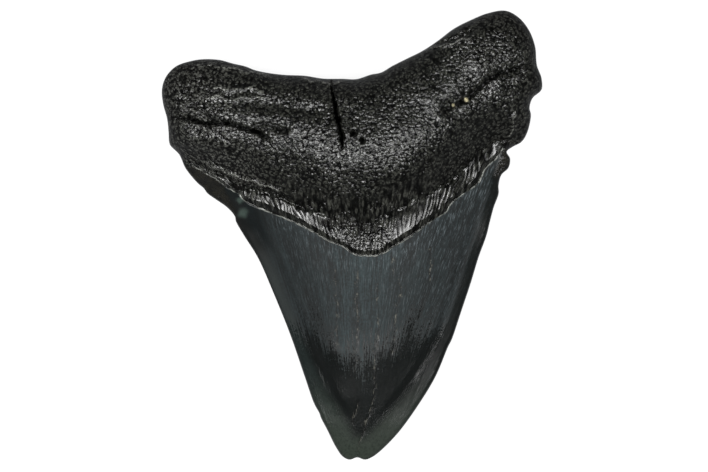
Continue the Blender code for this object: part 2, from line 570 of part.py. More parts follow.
def build_tooth():
    """The tooth, moved so that the middle of its outline is at the origin."""
    tooth = add_object("tooth", tooth_mesh())
    tooth.data.materials.append(fossil_material())
    cutters = [crack_cutter()]
    cutters += [foramen_cutter(number, *hole) for number, hole in enumerate(FORAMINA, start=1)]
    middle = (OUTLINE.min(axis=0) + OUTLINE.max(axis=0)) / 2.0 * MM
    for item in [tooth] + cutters:
        item.location.x -= middle[0]
        item.location.y -= middle[1]
    for cutter in cutters:
        cut(tooth, cutter)
    tooth.data.shade_smooth()
    tooth.data.set_sharp_from_angle(angle=math.radians(50.0))


clear_scene()
build_tooth()
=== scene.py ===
"""The looks of the megalodon tooth: its finely worked surface, its fossil finish, floor, lights and camera.

The surface is built as the solid is, from two sheets that share one outline, but with a much finer net.
It adds the grain, pores, striae and fine cracks that the solid leaves out, and some of its ridges, clefts
and holes are stronger or wider than the solid's. Lengths in the shape sections are millimetres, in the
solid's own layout: MM and the solid's box take them to the frame.
"""

import math

import bpy
import numpy as np
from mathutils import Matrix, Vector, noise
from mathutils.geometry import delaunay_2d_cdt


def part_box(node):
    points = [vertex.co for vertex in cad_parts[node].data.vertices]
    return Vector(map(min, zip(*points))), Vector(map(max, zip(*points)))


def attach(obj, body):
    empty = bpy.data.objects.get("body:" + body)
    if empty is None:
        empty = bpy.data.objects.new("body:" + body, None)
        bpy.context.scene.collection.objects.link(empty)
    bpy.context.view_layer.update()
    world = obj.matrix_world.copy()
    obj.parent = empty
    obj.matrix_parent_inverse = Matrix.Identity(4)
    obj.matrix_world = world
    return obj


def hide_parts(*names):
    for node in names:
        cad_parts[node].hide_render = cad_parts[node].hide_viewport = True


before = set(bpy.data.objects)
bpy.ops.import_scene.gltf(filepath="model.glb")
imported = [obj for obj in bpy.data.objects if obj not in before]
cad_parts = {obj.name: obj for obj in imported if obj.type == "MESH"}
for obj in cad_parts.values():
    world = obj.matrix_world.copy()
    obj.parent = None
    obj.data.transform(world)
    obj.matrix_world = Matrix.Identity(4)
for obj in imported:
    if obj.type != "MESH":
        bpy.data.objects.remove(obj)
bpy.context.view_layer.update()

MM = 0.001

# ---- Sizes of the main shape ----
ROOT_EDGE_RADIUS = 5.5          # how far in the rounding of the root's lingual edge reaches
LINGUAL_EDGE_POWER = 2.6        # 2 would round that edge as an ellipse, and more makes it blunter
ROOT_LABIAL_RADIUS = 6.0        # the same on its labial edge
CUTTING_EDGE_RADIUS = 0.6       # the cutting edge of the crown, rounded by wear
LABIAL_EDGE_WIDTH = 5.0         # where the labial face of the crown curves up to its cutting edge
SHOULDER_BLEND = 6.0            # length over which a cutting edge turns into a root edge

BLADE_WIDTH = 3.1               # the thin blade along each side of the crown, at its base
BLADE_WIDTH_TIP = 5.2           # the same near the tip, where the blades nearly meet
BLADE_DROP = 0.5                # how far the blade lies below the body of the crown
BLADE_DROP_TIP = 0.05           # the same near the tip
BEVEL_WIDTH = 1.7               # the steep band between the blade and the body

ENAMEL_STEP = 0.42              # height of the enamel's lip over the bourlette
ENAMEL_STEP_WIDTH = 0.32
BOURLETTE_RISE = 0.85           # how much the bourlette bulges between its two edges
BOURLETTE_BROW = 0.42           # how far up the band it is highest, as a share of its width
BOURLETTE_BROW_MIDDLE = 0.15    # the same at the point of the V
BOURLETTE_BROW_RIGHT = 0.27     # and on the right
FOOT_GROOVE_DEPTH = 0.45        # the crease where the root bulge meets the bourlette
FOOT_GROOVE_WIDTH = 0.45

LABIAL_ENAMEL_STEP = 0.45       # the enamel edge of the labial face
LUMP_HEIGHT = 0.4               # uneven lumps all over the root
LUMP_LENGTH = 5.5
RELIEF_INSET = 1.2              # how far in from the outline the root's relief starts

# ---- Sizes of the fine surface ----
OUTLINE_SPACING = 0.36          # between the points along the outline
ROOT_SPACING = 0.25             # between the points of the lingual face, on the root
BAND_SPACING = 0.15             # the same on the bourlette, whose furrows are fine
CROWN_SPACING = 0.38            # the same on the crown
LABIAL_SPACING = 0.66
LINE_SPACING = 0.30             # along the rows of points beside each line

GRAIN_LENGTH = 1.35             # crinkles of the root's skin
GRAIN_DEPTH = 0.06
PORE_LENGTH = 2.6               # scattered small hollows of the root
PORE_DEPTH = 0.35
STRIA_SPACING = 0.85            # about the distance between two furrows of the bourlette
STRIA_HALF_WIDTH = 0.14
STRIA_DEPTH = 0.13
FLUTE_LENGTH = 1.1              # faint flutes down the crown
FLUTE_DEPTH = 0.025
CRACK_DEPTH = 2.0               # the crack that runs down the middle of the root
CROWN_CRACK_DEPTH = 0.10
CROWN_CRACK_WIDTH = 0.14
RIDGE_HIGHLIGHT_WIDTH = 0.2                # the painted highlight along a sharp ridge of the root

VALLEY_FADE = 0.15              # share of a line's length over which it dies out at each end
CREVICE_FADES = (0.07, 0.12)    # the same at the start and the end of a crevice
LINE_FADE = 0.1                 # the same for the crown's cracks and the pale ridges

EDGE_SPACING = 0.8              # between the points of the two edges of the bourlette
LABIAL_LINE_SPACING = 1.5       # and of the other lines
CRACK_LINE_SPACING = 0.6
CROWN_CRACK_SPACING = 1.0
ROOT_LINE_SPACING = 1.0

ENAMEL_ROWS = (-0.32, -0.16, 0.0, 0.16, 0.32)   # offsets of the rows of points beside each line
CRACK_ROWS = (-0.45, -0.22, 0.0, 0.22, 0.45)
CROWN_CRACK_ROWS = (-0.22, 0.0, 0.22)
ROW_CLEARANCE = 0.13            # the nearest that a point of a row may come to another point
RING_CLEARANCE = 0.16           # the same for the rings inside the outline
WIDE_RING_CLEARANCE = 0.3
NET_CLEARANCE = 0.7             # the same for a lattice, as a share of its spacing

# ---- Outline, clockwise as seen from above, starting at the foot of the left root lobe ----
LEFT_LOBE = [
    (-39.1, 22.0), (-39.4, 25.0), (-40.2, 28.0), (-40.5, 30.6), (-40.2, 32.6), (-39.3, 34.4),
    (-37.4, 36.2), (-34.6, 37.2), (-31.8, 37.65), (-28.2, 37.5), (-25.2, 36.7), (-22.6, 36.1),
]
ROOT_NOTCH = [
    (-20.9, 35.4), (-18.3, 34.8), (-14.4, 34.3), (-10.0, 34.1), (-6.1, 33.5), (-2.0, 33.45),
    (1.0, 33.4), (4.0, 34.35), (6.2, 34.8), (8.6, 36.2), (12.0, 37.9), (15.0, 39.4),
]
RIGHT_LOBE = [
    (18.2, 41.5), (21.8, 44.2), (26.0, 46.3), (28.8, 47.4), (32.6, 48.0), (35.3, 46.7),
    (37.6, 44.0), (39.0, 40.4), (39.4, 36.4), (40.4, 33.6), (40.4, 31.2), (38.5, 29.4),
    (37.9, 27.4), (38.2, 25.8), (37.4, 22.0), (36.2, 20.1), (34.4, 19.1), (33.1, 18.05),
]
RIGHT_CUTTING_EDGE = [
    (33.85, 16.6), (33.5, 14.6), (32.0, 13.1), (31.4, 10.8), (31.45, 9.2), (30.4, 6.2),
    (29.7, 3.6), (28.8, 0.0), (27.2, -4.4), (25.5, -10.0), (23.5, -16.0), (21.4, -22.2),
    (20.6, -23.8), (18.0, -30.0), (14.6, -35.7), (10.0, -42.1), (6.0, -46.2),
]
WORN_TIP = [(4.2, -47.5), (2.8, -48.0), (1.1, -47.5), (-0.5, -48.0), (-2.0, -47.3), (-3.5, -45.2)]
LEFT_CUTTING_EDGE = [
    (-5.2, -41.8), (-6.7, -38.9), (-7.0, -38.0), (-8.1, -36.0), (-10.2, -30.0), (-13.3, -21.0),
    (-16.8, -12.3), (-20.2, -4.6), (-23.2, 0.2), (-24.9, 3.2), (-25.1, 4.2),
]
LEFT_SHOULDER = [
    (-26.7, 6.1), (-29.3, 7.95), (-31.0, 9.2), (-31.8, 10.3), (-33.0, 11.3), (-35.6, 14.5),
    (-36.9, 17.4), (-38.8, 19.4), (-39.05, 20.4),
]

# ---- Lines on the lingual face ----
ENAMEL_LINE = [                 # where the enamel of the crown ends, a wide V
    (-34.0, 15.0), (-30.5, 13.0), (-28.1, 11.6), (-25.9, 9.9), (-24.0, 8.9), (-22.8, 7.4),
    (-20.6, 6.3), (-16.6, 4.7), (-12.5, 3.0), (-8.5, 1.0), (-4.5, -1.3), (-2.3, -2.0),
    (0.0, -3.7), (2.1, -4.2), (5.0, -4.15), (6.8, -3.7), (8.3, -2.6), (11.8, -0.5),
    (14.5, 1.4), (18.5, 4.2), (19.8, 4.8), (20.6, 6.2), (22.2, 7.9), (24.9, 9.7),
    (27.1, 11.5), (28.4, 14.4), (30.5, 16.2), (32.2, 18.6),
]
BOURLETTE_TOP = [               # the foot of the root bulge, above the bourlette
    (-33.6, 15.4), (-29.0, 13.2), (-25.5, 11.4), (-21.4, 9.6), (-17.0, 8.5), (-13.2, 7.0),
    (-10.0, 5.6), (-7.4, 4.7), (-3.5, 4.1), (1.0, 3.9), (5.5, 3.9), (8.0, 4.6), (10.7, 6.1),
    (13.5, 7.4), (16.6, 8.8), (19.5, 10.5), (22.0, 12.2), (24.2, 14.6), (26.4, 17.2), (30.6, 20.0),
]
FOOT_LEDGE = [(-32.6, 15.9), (-28.6, 14.3), (-25.9, 13.3), (-23.5, 12.3), (-18.7, 10.9), (-14.5, 9.9)]
LEFT_CREVICE = [
    (-38.6, 24.7), (-35.8, 24.9), (-33.6, 24.6), (-31.6, 23.9), (-28.0, 23.8), (-26.0, 23.7),
    (-22.4, 22.6), (-20.0, 22.0), (-18.2, 20.7), (-16.6, 19.7),
]
CREVICE_BRANCH = [(-34.2, 27.7), (-32.4, 26.8), (-30.4, 25.6), (-28.4, 24.6)]
CREVICE_TAIL = [(-21.4, 22.9), (-18.4, 23.7), (-15.5, 22.9), (-13.2, 21.9)]
LOBE_SWELLING = [(-36.5, 20.3), (-33.0, 19.8), (-29.0, 19.2), (-25.0, 18.6)]
LOBE_RIDGE_UPPER = [(-31.0, 31.6), (-28.0, 31.3), (-25.5, 30.8), (-22.4, 31.3), (-18.5, 30.6)]
LOBE_RIDGE_LOWER = [(-33.4, 29.7), (-29.6, 29.5), (-26.3, 28.9), (-21.0, 29.1), (-17.5, 29.2)]
LOBE_VALLEY = [(-20.5, 27.6), (-16.5, 27.4), (-12.5, 26.9), (-9.0, 26.1), (-5.6, 25.6)]
RIGHT_GROOVE = [
    (38.4, 36.4), (34.5, 35.4), (30.5, 34.0), (27.7, 32.0), (25.6, 30.2), (23.2, 28.4),
    (21.0, 27.2), (17.6, 25.9),
]
RIGHT_LEDGE = [(34.2, 26.2), (34.4, 24.0), (34.2, 22.2), (32.8, 20.6)]
LEFT_BASAL_CREASE = [(-34.0, 36.6), (-28.5, 35.9), (-24.6, 35.7), (-22.0, 35.0), (-17.0, 34.1)]
MIDDLE_BASAL_CREASE = [(-11.7, 33.7), (-8.3, 33.0), (-4.2, 32.0), (-1.4, 32.5)]
RIGHT_BASAL_CREASE = [(14.8, 39.0), (17.0, 40.0), (20.6, 40.3), (23.2, 41.5), (26.4, 42.6)]
CRACK = [
    (-4.5, 33.0), (-4.2, 31.2), (-3.85, 29.0), (-3.55, 27.2), (-3.2, 25.4), (-2.7, 23.5),
    (-2.3, 21.8), (-2.05, 20.3), (-2.15, 18.9), (-2.0, 17.8),
]
CRACK_WIDTHS = [0.75, 0.7, 0.8, 1.0, 1.2, 1.4, 1.4, 1.1, 0.8, 0.3]
FORAMINA = [(0.35, 21.6, 0.8), (2.15, 20.1, 0.7)]    # x, y and radius of the two blood-vessel holes

SAND_GRAINS = [(24.1, 28.7, 0.32), (21.3, 27.6, 0.22)]  # x, y and radius, stuck in the right groove
GREEN_SPOTS = [(-23.3, 4.9, 0.85), (-24.0, 7.6, 0.6)]        # the same of the greenish spots at the left shoulder

LABIAL_ENAMEL_LINE = [          # the enamel reaches higher on the labial face, in a low arch
    (-37.2, 16.8), (-28.0, 15.6), (-18.0, 17.6), (-8.0, 19.6), (2.0, 20.6), (12.0, 20.4),
    (22.0, 19.4), (33.6, 17.6),
]

CROWN_CRACKS = [                # fine cracks down the crown, each from the neck towards the tip
    [(-3.5, -6.0), (-3.4, -12.0), (-3.2, -19.0), (-3.3, -25.0)],
    [(1.5, -5.5), (1.0, -10.0), (1.2, -16.0), (1.1, -21.5), (0.8, -25.5), (0.7, -29.5)],
    [(5.6, -8.0), (5.5, -14.0), (5.7, -18.5), (5.2, -23.0), (4.8, -27.0), (4.7, -33.0),
     (4.1, -36.5), (3.3, -39.0), (2.4, -42.0), (1.6, -44.2), (1.2, -45.8), (1.0, -47.2)],
    [(8.2, -2.9), (8.6, -5.5), (8.7, -8.5)],
    [(9.6, -13.0), (9.3, -17.0), (9.2, -20.7), (8.9, -25.8)],
    [(10.0, -8.5), (10.2, -11.0), (10.1, -14.5)],
    [(16.8, -1.8), (16.7, -5.5), (16.6, -9.8)],
    [(1.4, -35.0), (0.8, -38.0), (0.1, -40.4)],
]

# ---- Heights of the lingual face (x, y, z). The dome is the full surface, before its edges are rounded ----
ROOT_BASE_HEIGHTS = [
    (-34.0, 35.0, 13.4), (-20.0, 33.0, 16.2), (-2.0, 31.0, 18.2), (12.0, 35.0, 17.6),
    (22.0, 42.0, 16.4), (32.0, 45.5, 14.8),
]
ROOT_CREST_HEIGHTS = [
    (-38.0, 28.0, 14.2), (-30.0, 29.0, 16.4), (-20.0, 26.5, 18.6), (-8.0, 24.0, 20.8),
    (3.0, 21.0, 22.0), (12.0, 25.0, 21.0), (22.0, 32.0, 19.0), (30.0, 39.0, 17.0), (37.0, 39.0, 15.0),
]
ROOT_FLANK_HEIGHTS = [
    (-36.6, 20.8, 13.8), (-28.0, 19.0, 15.8), (-18.0, 16.5, 17.9), (-6.0, 13.5, 20.2),
    (3.0, 12.0, 20.7), (12.0, 14.5, 20.1), (20.0, 19.5, 18.2), (28.0, 26.0, 16.0), (36.0, 31.0, 14.4),
    (35.5, 24.0, 11.4),
]
FOOT_HEIGHTS = [
    (-34.0, 16.0, 8.5), (-28.0, 13.6, 9.7), (-20.0, 10.0, 12.0), (-12.0, 6.6, 13.9), (-4.0, 4.4, 15.2),
    (3.0, 3.9, 15.6), (10.0, 5.8, 14.8), (17.0, 9.4, 13.3), (23.5, 14.2, 10.7), (30.0, 20.0, 8.8),
]
NECK_HEIGHTS = [
    (-30.5, 12.6, 7.6), (-22.4, 6.8, 9.6), (-14.7, 3.7, 11.8), (-6.6, -0.3, 12.8), (3.0, -4.4, 13.1),
    (10.2, -1.6, 12.9), (17.1, 3.1, 11.5), (22.2, 7.7, 9.7), (27.4, 11.9, 7.8), (31.4, 17.4, 6.8),
]
CROWN_SPINE_HEIGHTS = [
    (3.0, -12.0, 11.7), (2.8, -20.0, 10.2), (2.4, -28.0, 8.6), (1.9, -36.0, 6.7), (1.5, -42.0, 5.3),
    (1.1, -46.0, 4.2),
]
CROWN_FLANK_HEIGHTS = [         # half way from the spine to the blades
    (-9.5, -6.0, 11.0), (16.0, -5.0, 11.0), (-6.5, -15.0, 9.5), (12.5, -15.0, 9.5),
    (-4.2, -25.0, 8.0), (9.4, -25.0, 8.0), (-2.0, -35.0, 6.3), (6.2, -35.0, 6.3),
]
CROWN_SIDE_HEIGHTS = [          # along the inner edge of each blade
    (-20.0, 2.0, 6.3), (25.0, 3.0, 6.3), (-14.5, -8.0, 6.1), (21.6, -9.0, 6.1), (-10.6, -18.0, 5.7),
    (18.4, -18.0, 5.7), (-7.6, -27.0, 5.2), (14.4, -27.0, 5.2), (-4.4, -36.0, 4.8), (9.4, -36.5, 4.8),
]
BLADE_HEIGHTS = [               # along the cutting edges and shoulders
    (-33.0, 12.4, 5.6), (-27.0, 7.2, 4.9), (-23.2, 0.2, 4.2), (-17.4, -11.0, 3.7), (-12.3, -24.0, 3.4),
    (-7.6, -37.0, 3.2), (-3.5, -45.2, 3.1), (1.1, -47.8, 3.1), (6.0, -46.2, 3.1), (13.0, -38.0, 3.2),
    (19.3, -27.0, 3.4), (24.3, -13.5, 3.7), (28.8, 0.0, 4.2), (31.0, 8.5, 4.9), (33.4, 15.4, 5.6),
]
RIM_HEIGHTS = [                 # the outline itself, where the two faces meet
    (-39.1, 22.0, 7.4), (-40.4, 30.6, 8.4), (-33.0, 37.6, 8.8), (-20.0, 35.1, 9.4), (0.0, 33.4, 9.8),
    (15.0, 39.4, 9.6), (32.6, 48.0, 9.0), (39.2, 39.0, 8.6), (40.4, 32.4, 8.0), (38.0, 26.0, 6.6),
    (36.2, 20.1, 5.2), (33.4, 17.0, 3.9), (31.4, 10.0, 3.0), (28.8, 0.0, 2.3), (24.3, -13.5, 1.9),
    (19.3, -27.0, 1.7), (10.0, -42.1, 1.6), (1.1, -47.8, 1.6), (-7.6, -37.0, 1.6), (-12.3, -24.0, 1.7),
    (-17.4, -11.0, 1.9), (-24.9, 3.2, 2.4), (-31.0, 9.2, 3.2), (-36.4, 16.0, 5.0),
]
LABIAL_HEIGHTS = [              # of the labial face, whose parts below zero become its flat rests
    (0.0, -40.0, -0.3), (0.0, -25.0, -0.8), (2.0, -8.0, -0.9), (-14.0, 4.0, -0.3), (18.0, 4.0, -0.3),
    (2.0, 12.0, -0.2), (-24.0, 9.0, 0.4), (26.0, 11.0, 0.4), (0.0, 24.0, 1.3), (0.0, 30.0, 2.2),
    (-12.0, 26.0, 0.6), (14.0, 28.0, 0.6), (-28.0, 27.0, -1.1), (-36.0, 28.0, 0.3), (-28.0, 33.0, 0.3),
    (29.0, 34.0, -1.1), (36.0, 37.0, 0.3), (28.0, 42.0, 0.3), (32.0, 25.0, 0.7), (-33.0, 19.0, 0.7),
]


# ---- Curves and smooth sheets ----
def curve_piece(before, start, end, after, steps=12):
    """One stretch of a centripetal Catmull-Rom curve, from start up to but not including end."""
    knot_1 = math.sqrt(np.linalg.norm(start - before))
    knot_2 = knot_1 + math.sqrt(np.linalg.norm(end - start))
    knot_3 = knot_2 + math.sqrt(np.linalg.norm(after - end))
    t = np.linspace(knot_1, knot_2, steps, endpoint=False)[:, None]
    first = ((knot_1 - t) * before + t * start) / knot_1
    second = ((knot_2 - t) * start + (t - knot_1) * end) / (knot_2 - knot_1)
    third = ((knot_3 - t) * end + (t - knot_2) * after) / (knot_3 - knot_2)
    lower = ((knot_2 - t) * first + t * second) / knot_2
    upper = ((knot_3 - t) * second + (t - knot_1) * third) / (knot_3 - knot_1)
    return ((knot_2 - t) * lower + (t - knot_1) * upper) / (knot_2 - knot_1)


def steps(line, spacing):
    """The same line with a new even spacing."""
    travelled = np.concatenate([[0.0], np.cumsum(np.linalg.norm(np.diff(line, axis=0), axis=1))])
    stops = np.linspace(0.0, travelled[-1], max(2, round(travelled[-1] / spacing)) + 1)
    return np.column_stack([np.interp(stops, travelled, line[:, axis]) for axis in range(2)])


def smooth_curve(points, spacing, closed=False):
    """A smooth curve through the points, as a polyline with an even spacing."""
    points = np.array(points, dtype=float)
    if closed:
        padded = np.vstack([points[-1], points, points[:2]])
    else:
        padded = np.vstack([2 * points[0] - points[1], points, 2 * points[-1] - points[-2]])
    pieces = [curve_piece(*padded[index:index + 4]) for index in range(len(padded) - 3)]
    line = steps(np.vstack(pieces + [padded[-2]]), spacing)
    return line[:-1] if closed else line


def beside(line, offset):
    """The polyline moved sideways, to its left where the offset is positive."""
    along = np.gradient(line, axis=0)
    along /= np.linalg.norm(along, axis=1)[:, None]
    return line + offset * np.column_stack([-along[:, 1], along[:, 0]])


def measure_to(line, places):
    """Each place's distance to a polyline, and how far along it (0 to 1) the nearest point is."""
    nearest = np.full(len(places), np.inf)
    along = np.zeros(len(places))
    count = len(line) - 1
    for index in range(count):
        start = line[index]
        step = line[index + 1] - start
        offset = places - start
        share = np.clip(offset @ step / (step @ step), 0.0, 1.0)
        distance = np.hypot(*(offset - share[:, None] * step).T)
        closer = distance < nearest
        nearest[closer] = distance[closer]
        along[closer] = (index + share[closer]) / count
    return nearest, along


def thin_plate(*knot_lists):
    """A function giving the height of the smooth sheet that passes through all the (x, y, z) knots."""
    knots = np.array([knot for knots in knot_lists for knot in knots], dtype=float)
    centres = knots[:, :2]

    def influence(places):
        squared = ((places[:, None, :] - centres[None, :, :]) ** 2).sum(axis=2) + 1e-12
        return np.hstack([squared * np.log(squared), np.ones((len(places), 1)), places])

    top = influence(centres)
    plane = np.hstack([np.ones((len(knots), 1)), centres])
    system = np.vstack([top, np.hstack([plane.T, np.zeros((3, 3))])])
    weights = np.linalg.solve(system, np.concatenate([knots[:, 2], np.zeros(3)]))
    return lambda places: influence(places) @ weights


def ease(value):
    """0 below zero, 1 above one, and a smooth step between."""
    value = np.clip(value, 0.0, 1.0)
    return value * value * (3.0 - 2.0 * value)


def fading(along, first, last):
    """1 along a line, easing to 0 over the given shares of its length at its two ends."""
    return ease(along / first) * ease((1.0 - along) / last)


def valley(line, places, width, depth):
    """Depth of a rounded valley along a line, dying out at both of its ends."""
    distance, along = measure_to(line, places)
    fade = fading(along, VALLEY_FADE, VALLEY_FADE)
    return depth * fade * np.exp(-(distance / width) ** 2)


def signed_distance(line, places):
    """Distance to a line that crosses the tooth, positive on its root side."""
    side = np.where(places[:, 1] > np.interp(places[:, 0], line[:, 0], line[:, 1]), 1.0, -1.0)
    return side * measure_to(line, places)[0]


# ---- The main shape ----
OUTLINE = smooth_curve(
    LEFT_LOBE + ROOT_NOTCH + RIGHT_LOBE + RIGHT_CUTTING_EDGE + WORN_TIP + LEFT_CUTTING_EDGE
    + LEFT_SHOULDER, OUTLINE_SPACING, closed=True)[::-1]
CLOSED_OUTLINE = np.vstack([OUTLINE, OUTLINE[:1]])
ENAMEL_EDGE = smooth_curve(ENAMEL_LINE, EDGE_SPACING)
FOOT_EDGE = smooth_curve(BOURLETTE_TOP, EDGE_SPACING)
LABIAL_ENAMEL_EDGE = smooth_curve(LABIAL_ENAMEL_LINE, LABIAL_LINE_SPACING)
CRACK_LINE = smooth_curve(CRACK, CRACK_LINE_SPACING)
CROWN_CRACK_LINES = [smooth_curve(line, CROWN_CRACK_SPACING) for line in CROWN_CRACKS]
DOME = thin_plate(ROOT_BASE_HEIGHTS, ROOT_CREST_HEIGHTS, ROOT_FLANK_HEIGHTS, FOOT_HEIGHTS,
                  NECK_HEIGHTS, CROWN_SPINE_HEIGHTS, CROWN_FLANK_HEIGHTS, CROWN_SIDE_HEIGHTS,
                  BLADE_HEIGHTS)
RIM = thin_plate(RIM_HEIGHTS)
LABIAL_SHEET = thin_plate(LABIAL_HEIGHTS)

def curved(rows):
    """Rows of a root line's points, width and depth, with each line as a smooth curve."""
    return [(smooth_curve(points, ROOT_LINE_SPACING), width, depth) for points, width, depth in rows]


# Line, width and depth of each broad valley of the root. A negative depth makes a ridge.
ROOT_VALLEYS = curved([
    (LEFT_CREVICE, 1.4, 0.55), (CREVICE_TAIL, 1.2, 0.5), (LOBE_VALLEY, 1.7, 0.7),
    (LOBE_SWELLING, 1.8, -0.55), (LOBE_RIDGE_UPPER, 0.5, -0.45), (LOBE_RIDGE_LOWER, 0.5, -0.45),
    (FOOT_LEDGE, 0.4, -0.7), (RIGHT_GROOVE, 1.7, 0.9), (RIGHT_LEDGE, 0.5, -0.5),
    (LEFT_BASAL_CREASE, 0.5, -0.35), (MIDDLE_BASAL_CREASE, 0.5, -0.4), (RIGHT_BASAL_CREASE, 0.5, -0.8),
])
BASAL_GROOVE_OFFSET = 0.9       # the groove beside the right crease
ROOT_VALLEYS.append((beside(ROOT_VALLEYS[-1][0], BASAL_GROOVE_OFFSET), 0.5, 1.1))
# The same for its sharp, ragged crevices.
ROOT_CREVICES = curved([
    (LEFT_CREVICE, 0.6, 1.5), (CREVICE_BRANCH, 0.45, 1.3), (CREVICE_TAIL, 0.45, 1.0),
    (RIGHT_GROOVE, 0.5, 0.9),
])
# Its narrow ridges, along which a paler colour is painted as a highlight.
HIGHLIGHTED_RIDGES = [line for line, width, depth in ROOT_VALLEYS if depth < 0.0 and width <= 0.5]


def lingual_edge(inset, radius):
    """Rise from 0 at the outline to 1 at the radius, along a blunt superellipse."""
    share = 1.0 - np.clip(inset / radius, 0.0, 1.0)
    return (1.0 - share ** LINGUAL_EDGE_POWER) ** (1.0 / LINGUAL_EDGE_POWER)


def labial_edge(inset, radius, roundness):
    """The same for the labial face: a parabola at roundness 0, an ellipse at 1."""
    share = 1.0 - np.clip(inset / radius, 0.0, 1.0)
    return (1.0 - share ** 2) ** (1.0 - 0.5 * roundness)


def root_share(above_enamel):
    """1 where the edge is a rounded root edge, 0 where it is a cutting edge."""
    return ease(above_enamel / SHOULDER_BLEND + 0.25)


def sampled(function, x, y, z):
    """A noise function read at every place."""
    z = np.broadcast_to(z, np.shape(x))
    return np.array([function(Vector(place)) for place in zip(x, y, z)])


def waves(places, level=0.0):
    """Noise from about -1 to 1, one unit long. Each level is a different noise."""
    return sampled(noise.noise, *places.T, level)


def shaken(places, reach, length):
    """The places moved about by noise, so that a line measured from them comes out ragged."""
    moved = [waves(places / length, level) for level in (11.0, 17.0)]
    return places + reach * np.column_stack(moved)


def crevice(line, places, width, depth):
    """Depth of a steep cleft along a line, dying out at both of its ends."""
    distance, along = measure_to(line, places)
    fade = fading(along, *CREVICE_FADES)
    return depth * fade * (1.0 - np.clip(distance / width, 0.0, 1.0))


def blade(places, inset, above_enamel):
    """Drop from the body of the crown to the thin blade along its cutting edge."""
    width = np.interp(places[:, 1], [-42.0, -20.0], [BLADE_WIDTH_TIP, BLADE_WIDTH])
    on_crown = ease(-above_enamel / 3.0)
    drop = np.interp(places[:, 1], [-40.0, -25.0], [BLADE_DROP_TIP, BLADE_DROP])
    return drop * on_crown * (1.0 - ease((inset - width) / BEVEL_WIDTH))


def bourlette(across, above_enamel, above_foot):
    """Swelling of the band between the root bulge and the enamel: steep below, nearly level above."""
    inside = (above_enamel > 0.0) & (above_foot < 0.0)
    width = np.maximum(above_enamel - above_foot, 1.0)
    share = np.where(inside, above_enamel / width, 0.0)
    brows = [BOURLETTE_BROW, BOURLETTE_BROW_MIDDLE, BOURLETTE_BROW_MIDDLE, BOURLETTE_BROW_RIGHT]
    brow = np.interp(across, [-14.0, -4.0, 4.0, 14.0], brows)
    climb = ease(share / brow)
    fall = np.clip((1.0 - share) / (1.0 - brow), 0.0, 1.0)
    return BOURLETTE_RISE * np.minimum(1.0, 4.2 / width) * climb * fall


def foot_crease(places, above_foot):
    """Depth of the broken crease where the root bulge meets the bourlette, faint at the V's point."""
    broken = np.clip(1.0 + 2.0 * waves(places / 2.5, 6.0), 0.0, 2.0)
    broken *= np.interp(np.abs(fan(places)), [4.0, 10.0], [0.15, 1.0])
    return FOOT_GROOVE_DEPTH * broken * np.exp(-((above_foot - 0.35) / FOOT_GROOVE_WIDTH) ** 2)


# ---- The fine surface ----
FAN_APEX = (1.5, -62.0)         # the striae and the streaks spread from a point beyond the tip
FAN_BASE = 2.0                  # where the fan coordinate is a real width


def fan(places):
    """How far across the fan of striae a place is, in millimetres at the bourlette."""
    reach = places[:, 1] - FAN_APEX[1]
    return (places[:, 0] - FAN_APEX[0]) * (FAN_BASE - FAN_APEX[1]) / reach


def fan_waves(places, length_across, length_along, level):
    """Noise drawn out along the fan."""
    lengths = fan(places) / length_across, places[:, 1] / length_along
    return sampled(noise.noise, *lengths, level)


def grain(places):
    """Depth of the crinkled skin of the root: sharp furrows between rounded swellings."""
    x, y = places.T
    turn = np.interp(x, [-30.0, 0.0, 30.0], [-0.12, 0.1, 0.62])
    along = (x * np.cos(turn) + y * np.sin(turn)) / (1.5 * GRAIN_LENGTH)
    across = (y * np.cos(turn) - x * np.sin(turn)) / GRAIN_LENGTH
    coarse = np.abs(sampled(noise.noise, along, across, 3.0))
    fine = np.abs(sampled(noise.noise, 2.3 * along, 2.3 * across, 7.0))
    furrows = 1.0 - np.clip(2.0 * coarse, 0.0, 1.0)
    return GRAIN_DEPTH * furrows + 0.5 * GRAIN_DEPTH * (1.0 - 2.0 * fine)


def pores(places):
    """Depth of the small hollows scattered over the root."""
    x, y = places.T / PORE_LENGTH
    distance = sampled(lambda place: noise.voronoi(place)[0][0], x, y, 0.5)
    chosen = ease(4.0 * sampled(noise.noise, 0.7 * x, 0.7 * y, 9.0))
    return PORE_DEPTH * chosen * np.exp(-(distance / 0.16) ** 2)


def striae(places):
    """0 to about 1, for the nearly even furrows that run down the bourlette."""
    bend = fan_waves(places, 2.4, 5.0, 1.0)
    number = (fan(places) + 1.3 * bend) / STRIA_SPACING
    from_furrow = STRIA_SPACING * np.abs(number - np.round(number))
    broken = fan_waves(places, 1.2, 2.2, 5.0)
    furrow = np.clip(1.2 - from_furrow / STRIA_HALF_WIDTH, 0.0, 1.0)
    return furrow * np.clip(0.9 + 1.6 * broken, 0.0, 1.2)


def crack_depth(places):
    """Depth of the long crack in the root."""
    distance, along = measure_to(CRACK_LINE, places)
    half = 0.5 * np.interp(along, np.linspace(0.0, 1.0, len(CRACK_WIDTHS)), CRACK_WIDTHS)
    depth = CRACK_DEPTH * np.interp(half, [0.1, 0.35], [0.35, 1.0])
    return depth * (1.0 - np.clip(distance / half, 0.0, 1.0) ** 2)


def out_of(disc, places):
    """How far from the middle of an (x, y, radius) disc each place is, in radii."""
    x, y, radius = disc
    return np.hypot(places[:, 0] - x, places[:, 1] - y) / radius


def foramen_depth(places):
    """Depth of the two blood-vessel holes."""
    bowls = [1.0 - np.clip(out_of(disc, places), 0.0, 1.0) ** 2 for disc in FORAMINA]
    return CRACK_DEPTH * sum(bowls)


def spots(discs, places):
    """1 on any of the round spots, 0 elsewhere."""
    return np.max([np.clip(1.6 - out_of(disc, places), 0.0, 1.0) for disc in discs], axis=0)


